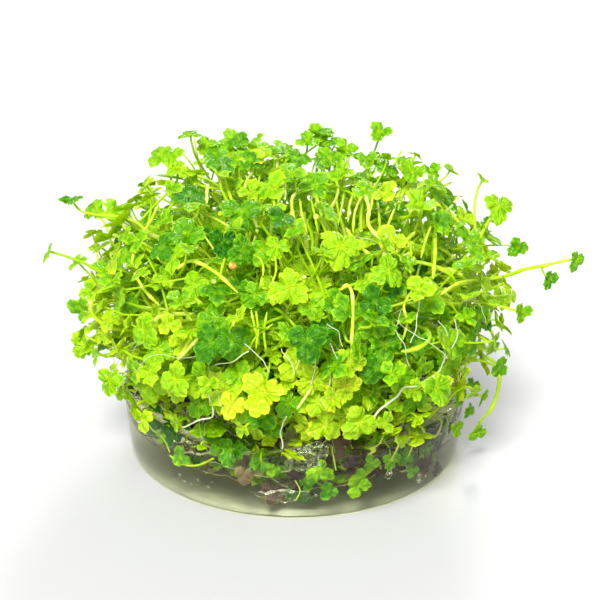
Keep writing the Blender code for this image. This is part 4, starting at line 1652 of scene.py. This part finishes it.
# what the photo shows in the gel: pixel, width and depth behind the wall in mm, which way it
# faces and leans, turn, tint, and whether it is an old leaf
shownInGel = [
    (230, 452, 9.5, 3.0, 0, 75, 20, 0.22, False), (181, 457, 7.0, 3.0, 0, 75, 50, 0.35, False),
    (161, 436, 4.0, 3.5, -20, 80, 10, 0.50, False), (143, 414, 4.5, 3.0, -30, 60, 0, 0.45, False),
    (261, 462, 6.5, 4.0, 10, 80, 80, 0.30, False), (273, 470, 4.5, 2.5, 0, 70, 30, 0.45, False),
    (320, 471, 8.5, 4.0, 0, 85, 60, 0.42, False), (308, 483, 5.0, 2.5, 0, 80, 0, 0.20, False),
    (329, 491, 6.0, 2.5, 10, 80, 40, 0.18, False), (358, 485, 7.5, 2.0, 10, 85, 25, 0.48, False),
    (360, 478, 6.0, 3.0, -20, 70, 70, 0.40, False), (391, 460, 6.0, 3.0, 10, 80, 10, 0.42, False),
    (407, 457, 6.0, 3.0, 20, 80, 60, 0.30, False), (404, 441, 4.0, 2.5, 20, 70, 30, 0.65, False),
    (428, 450, 4.5, 3.0, 30, 85, 0, 0.35, False), (377, 440, 6.5, 3.5, 10, 70, 45, 0.35, False),
    (205, 440, 6.0, 5.0, -10, 70, 15, 0.30, False), (292, 448, 6.0, 6.0, 0, 70, 55, 0.40, False),
    (420, 430, 5.5, 4.0, 30, 70, 20, 0.45, False), (372, 462, 5.0, 4.0, 0, 80, 35, 0.38, False),
    (339, 445, 8.0, 3.0, 10, 75, 20, 0.45, True), (351, 462, 4.5, 2.5, 0, 80, 60, 0.00, True),
    (438, 445, 4.5, 3.0, 40, 80, 30, 0.15, True), (424, 464, 6.5, 3.5, 30, 75, 0, 0.20, True),
    (450, 427, 4.0, 3.0, 50, 80, 50, 0.10, True), (244, 474, 6.5, 3.0, -10, 75, 10, 0.55, True),
    (262, 430, 6.0, 5.0, 0, 60, 45, 0.40, True), (285, 425, 6.0, 5.0, 0, 60, 75, 0.45, True),
    (170, 432, 10.0, 7.0, -20, 80, 30, 0.00, False), (196, 432, 9.0, 7.0, -10, 80, 60, 0.08, True),
    (154, 420, 11.0, 6.0, -30, 82, 20, 0.00, False), (210, 425, 8.0, 6.0, -10, 75, 10, 0.05, True),
    (236, 430, 9.0, 5.0, -5, 75, 40, 0.12, False), (343, 428, 8.0, 5.0, 0, 75, 30, 0.25, True),
    (300, 478, 8.0, 6.0, 0, 80, 15, 0.05, True), (446, 405, 6.0, 4.0, 50, 80, 15, 0.10, False),
    (272, 491, 8.0, 7.5, 0, 80, 15, 0.20, True), (301, 491, 8.0, 7.5, 0, 80, 75, 0.00, False),
    (245, 445, 7.0, 4.0, 0, 75, 60, 0.18, False), (215, 446, 6.0, 4.0, -10, 75, 0, 0.30, False),
    (437, 468, 5.0, 4.0, 40, 75, 50, 0.15, True), (412, 470, 5.0, 4.0, 20, 80, 20, 0.35, False),
]


def inGel(px, py, depth):
    # the spot at this depth in mm in the gel, on the ray that the wall bends under this pixel
    def inside(spot):
        lift = (spot.z - gel["foot round"]) / (gel["rim height"] - gel["foot round"])
        wall = gel["radius"] + (gel["top radius"] - gel["radius"]) * max(0.0, lift)
        return 0 < spot.z < gel["rim height"] and math.hypot(spot.x, spot.y) < wall
    wall = marchTo(px, py, inside)
    ray = pixelRay(px, py)[1]
    out = Vector((wall.x, wall.y, 0.0)).normalized()
    slow = 1 / gelFinish["ior"]
    fall = -out.dot(ray)
    bent = ray * slow + out * (slow * fall - math.sqrt(1 - slow ** 2 * (1 - fall ** 2)))
    return wall + bent * depth * mm


# stems in the gel: pixels, depth behind the wall and radius in mm, and tint
gelStems = [
    ([(419, 418), (424, 433), (435, 436), (441, 426), (437, 411)], 3.0, 0.45, 0.95),
    ([(170, 455), (180, 463), (197, 465), (214, 458)], 3.5, 0.32, 0.55),
    ([(143, 414), (151, 428), (163, 438), (170, 452)], 3.5, 0.26, 0.50),
    ([(262, 462), (256, 447), (252, 431)], 3.5, 0.26, 0.65),
    ([(391, 460), (398, 447), (402, 431)], 3.0, 0.30, 0.80),
    ([(408, 456), (413, 443), (412, 428)], 3.0, 0.30, 0.70),
    ([(368, 455), (379, 449), (386, 436)], 3.0, 0.26, 0.85),
    ([(336, 470), (333, 455), (327, 440)], 3.0, 0.22, 0.80),
    ([(295, 480), (300, 490), (296, 500)], 3.0, 0.16, 0.70),
]


def growGelStems(heap):
    for pixels, depth, radius, tint in gelStems:
        route = smoothRoute([inGel(*pixel, depth) for pixel in pixels], stemTube["steps"])
        addThread(heap, stemTube, route, radius * mm, tint, stalkNumber)


shownStalk = {
    "length": 6, "stray": 4, "bend": 0.5, "clear": 1.5 * mm, "radius": 0.32 * mm,
    "tints": (0.3, 0.8),
}


def growShownInGel(heap):
    draw = random.Random(shownSeeds["gel"])
    for px, py, width, depth, swing, lean, turn, tint, old in shownInGel:
        centre = inGel(px, py, depth)
        normal = nodding(toViewer + swing, lean)
        width *= mm
        addBlade(heap, draw.choice(fineBlades), centre, normal, math.radians(turn), width, tint,
                 oldNumber if old else leafNumber)
        root = centre - normal * shownStalk["length"] * mm
        root = inHollow(root + randomWay(draw) * shownStalk["stray"] * mm, shownStalk["clear"])
        rootWay = (up + randomWay(draw) * shownStalk["bend"]).normalized()
        addStalk(heap, root, rootWay, centre, normal, width, shownStalk["radius"],
                 draw.uniform(*shownStalk["tints"]))


# pockets of air and loose crumbs in the gel: pixel, depth, width, height and thickness in mm
airPockets = [
    (285, 495, 4.5, 17.0, 3.2, 2.6), (301, 440, 3.0, 9.0, 6.5, 3.0), (315, 454, 3.0, 7.0, 6.0, 3.0),
    (290, 424, 3.0, 9.0, 5.0, 3.0), (326, 434, 3.0, 5.0, 7.0, 3.0), (271, 411, 3.0, 7.0, 4.0, 3.0),
    (300, 461, 3.0, 8.0, 5.0, 3.0), (429, 411, 2.5, 5.0, 8.0, 3.0), (245, 425, 3.0, 6.0, 4.0, 3.0),
    (420, 478, 3.0, 4.0, 2.5, 2.0), (389, 474, 3.0, 3.0, 3.0, 2.0), (180, 475, 2.0, 1.3, 1.0, 0.8),
    (184, 481, 2.0, 1.0, 0.8, 0.8), (191, 484, 2.0, 1.4, 0.7, 0.7), (198, 480, 2.0, 0.8, 0.8, 0.8),
    (208, 487, 2.0, 1.2, 0.7, 0.7), (212, 482, 2.0, 0.7, 0.7, 0.7), (262, 408, 3.0, 5.0, 3.0, 2.0),
]
pocket = {"seed": 64, "crinkle": 0.36, "crinkle size": 1.9 * mm, "crinkle shift": 40}


def modelAirPockets():
    draw = random.Random(pocket["seed"])
    parts = []
    for px, py, depth, width, height, thickness in airPockets:
        deselectAll()
        bpy.ops.mesh.primitive_ico_sphere_add(subdivisions=4, radius=0.5)
        part = bpy.context.object
        centre = inGel(px, py, depth)
        across = outward(math.degrees(math.atan2(centre.y, centre.x)) + 90)
        deep = across.cross(up)
        shift = randomWay(draw) * pocket["crinkle shift"] * mm
        crinkle = min(width, height, thickness) * pocket["crinkle"]
        for vertex in part.data.vertices:
            x, y, z = vertex.co
            spot = (across * (x * width) + up * (z * height) + deep * (y * thickness)) * mm
            fold = noise.noise_vector((spot + shift) / pocket["crinkle size"])
            vertex.co = centre + spot + fold * crinkle * mm
        parts.append(part)
    deselectAll()
    for part in parts:
        part.select_set(True)
    bpy.context.view_layer.objects.active = parts[0]
    bpy.ops.object.join()
    pockets = bpy.context.object
    pockets.name = "airPockets"
    bpy.ops.object.shade_smooth()
    pockets.data.materials.append(pocketSkin)
    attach(pockets, "root")
    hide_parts("gel")


modelAirPockets()
print("air pockets are modelled:", len(airPockets))

tangleHeap = growTangle()
growGelLeaves(tangleHeap)
growShownInGel(tangleHeap)
growGelStems(tangleHeap)
heapToPiece(tangleHeap, "rootTangle", "roots", "roots")
print("root tangle is grown")

print("all pieces are in place")
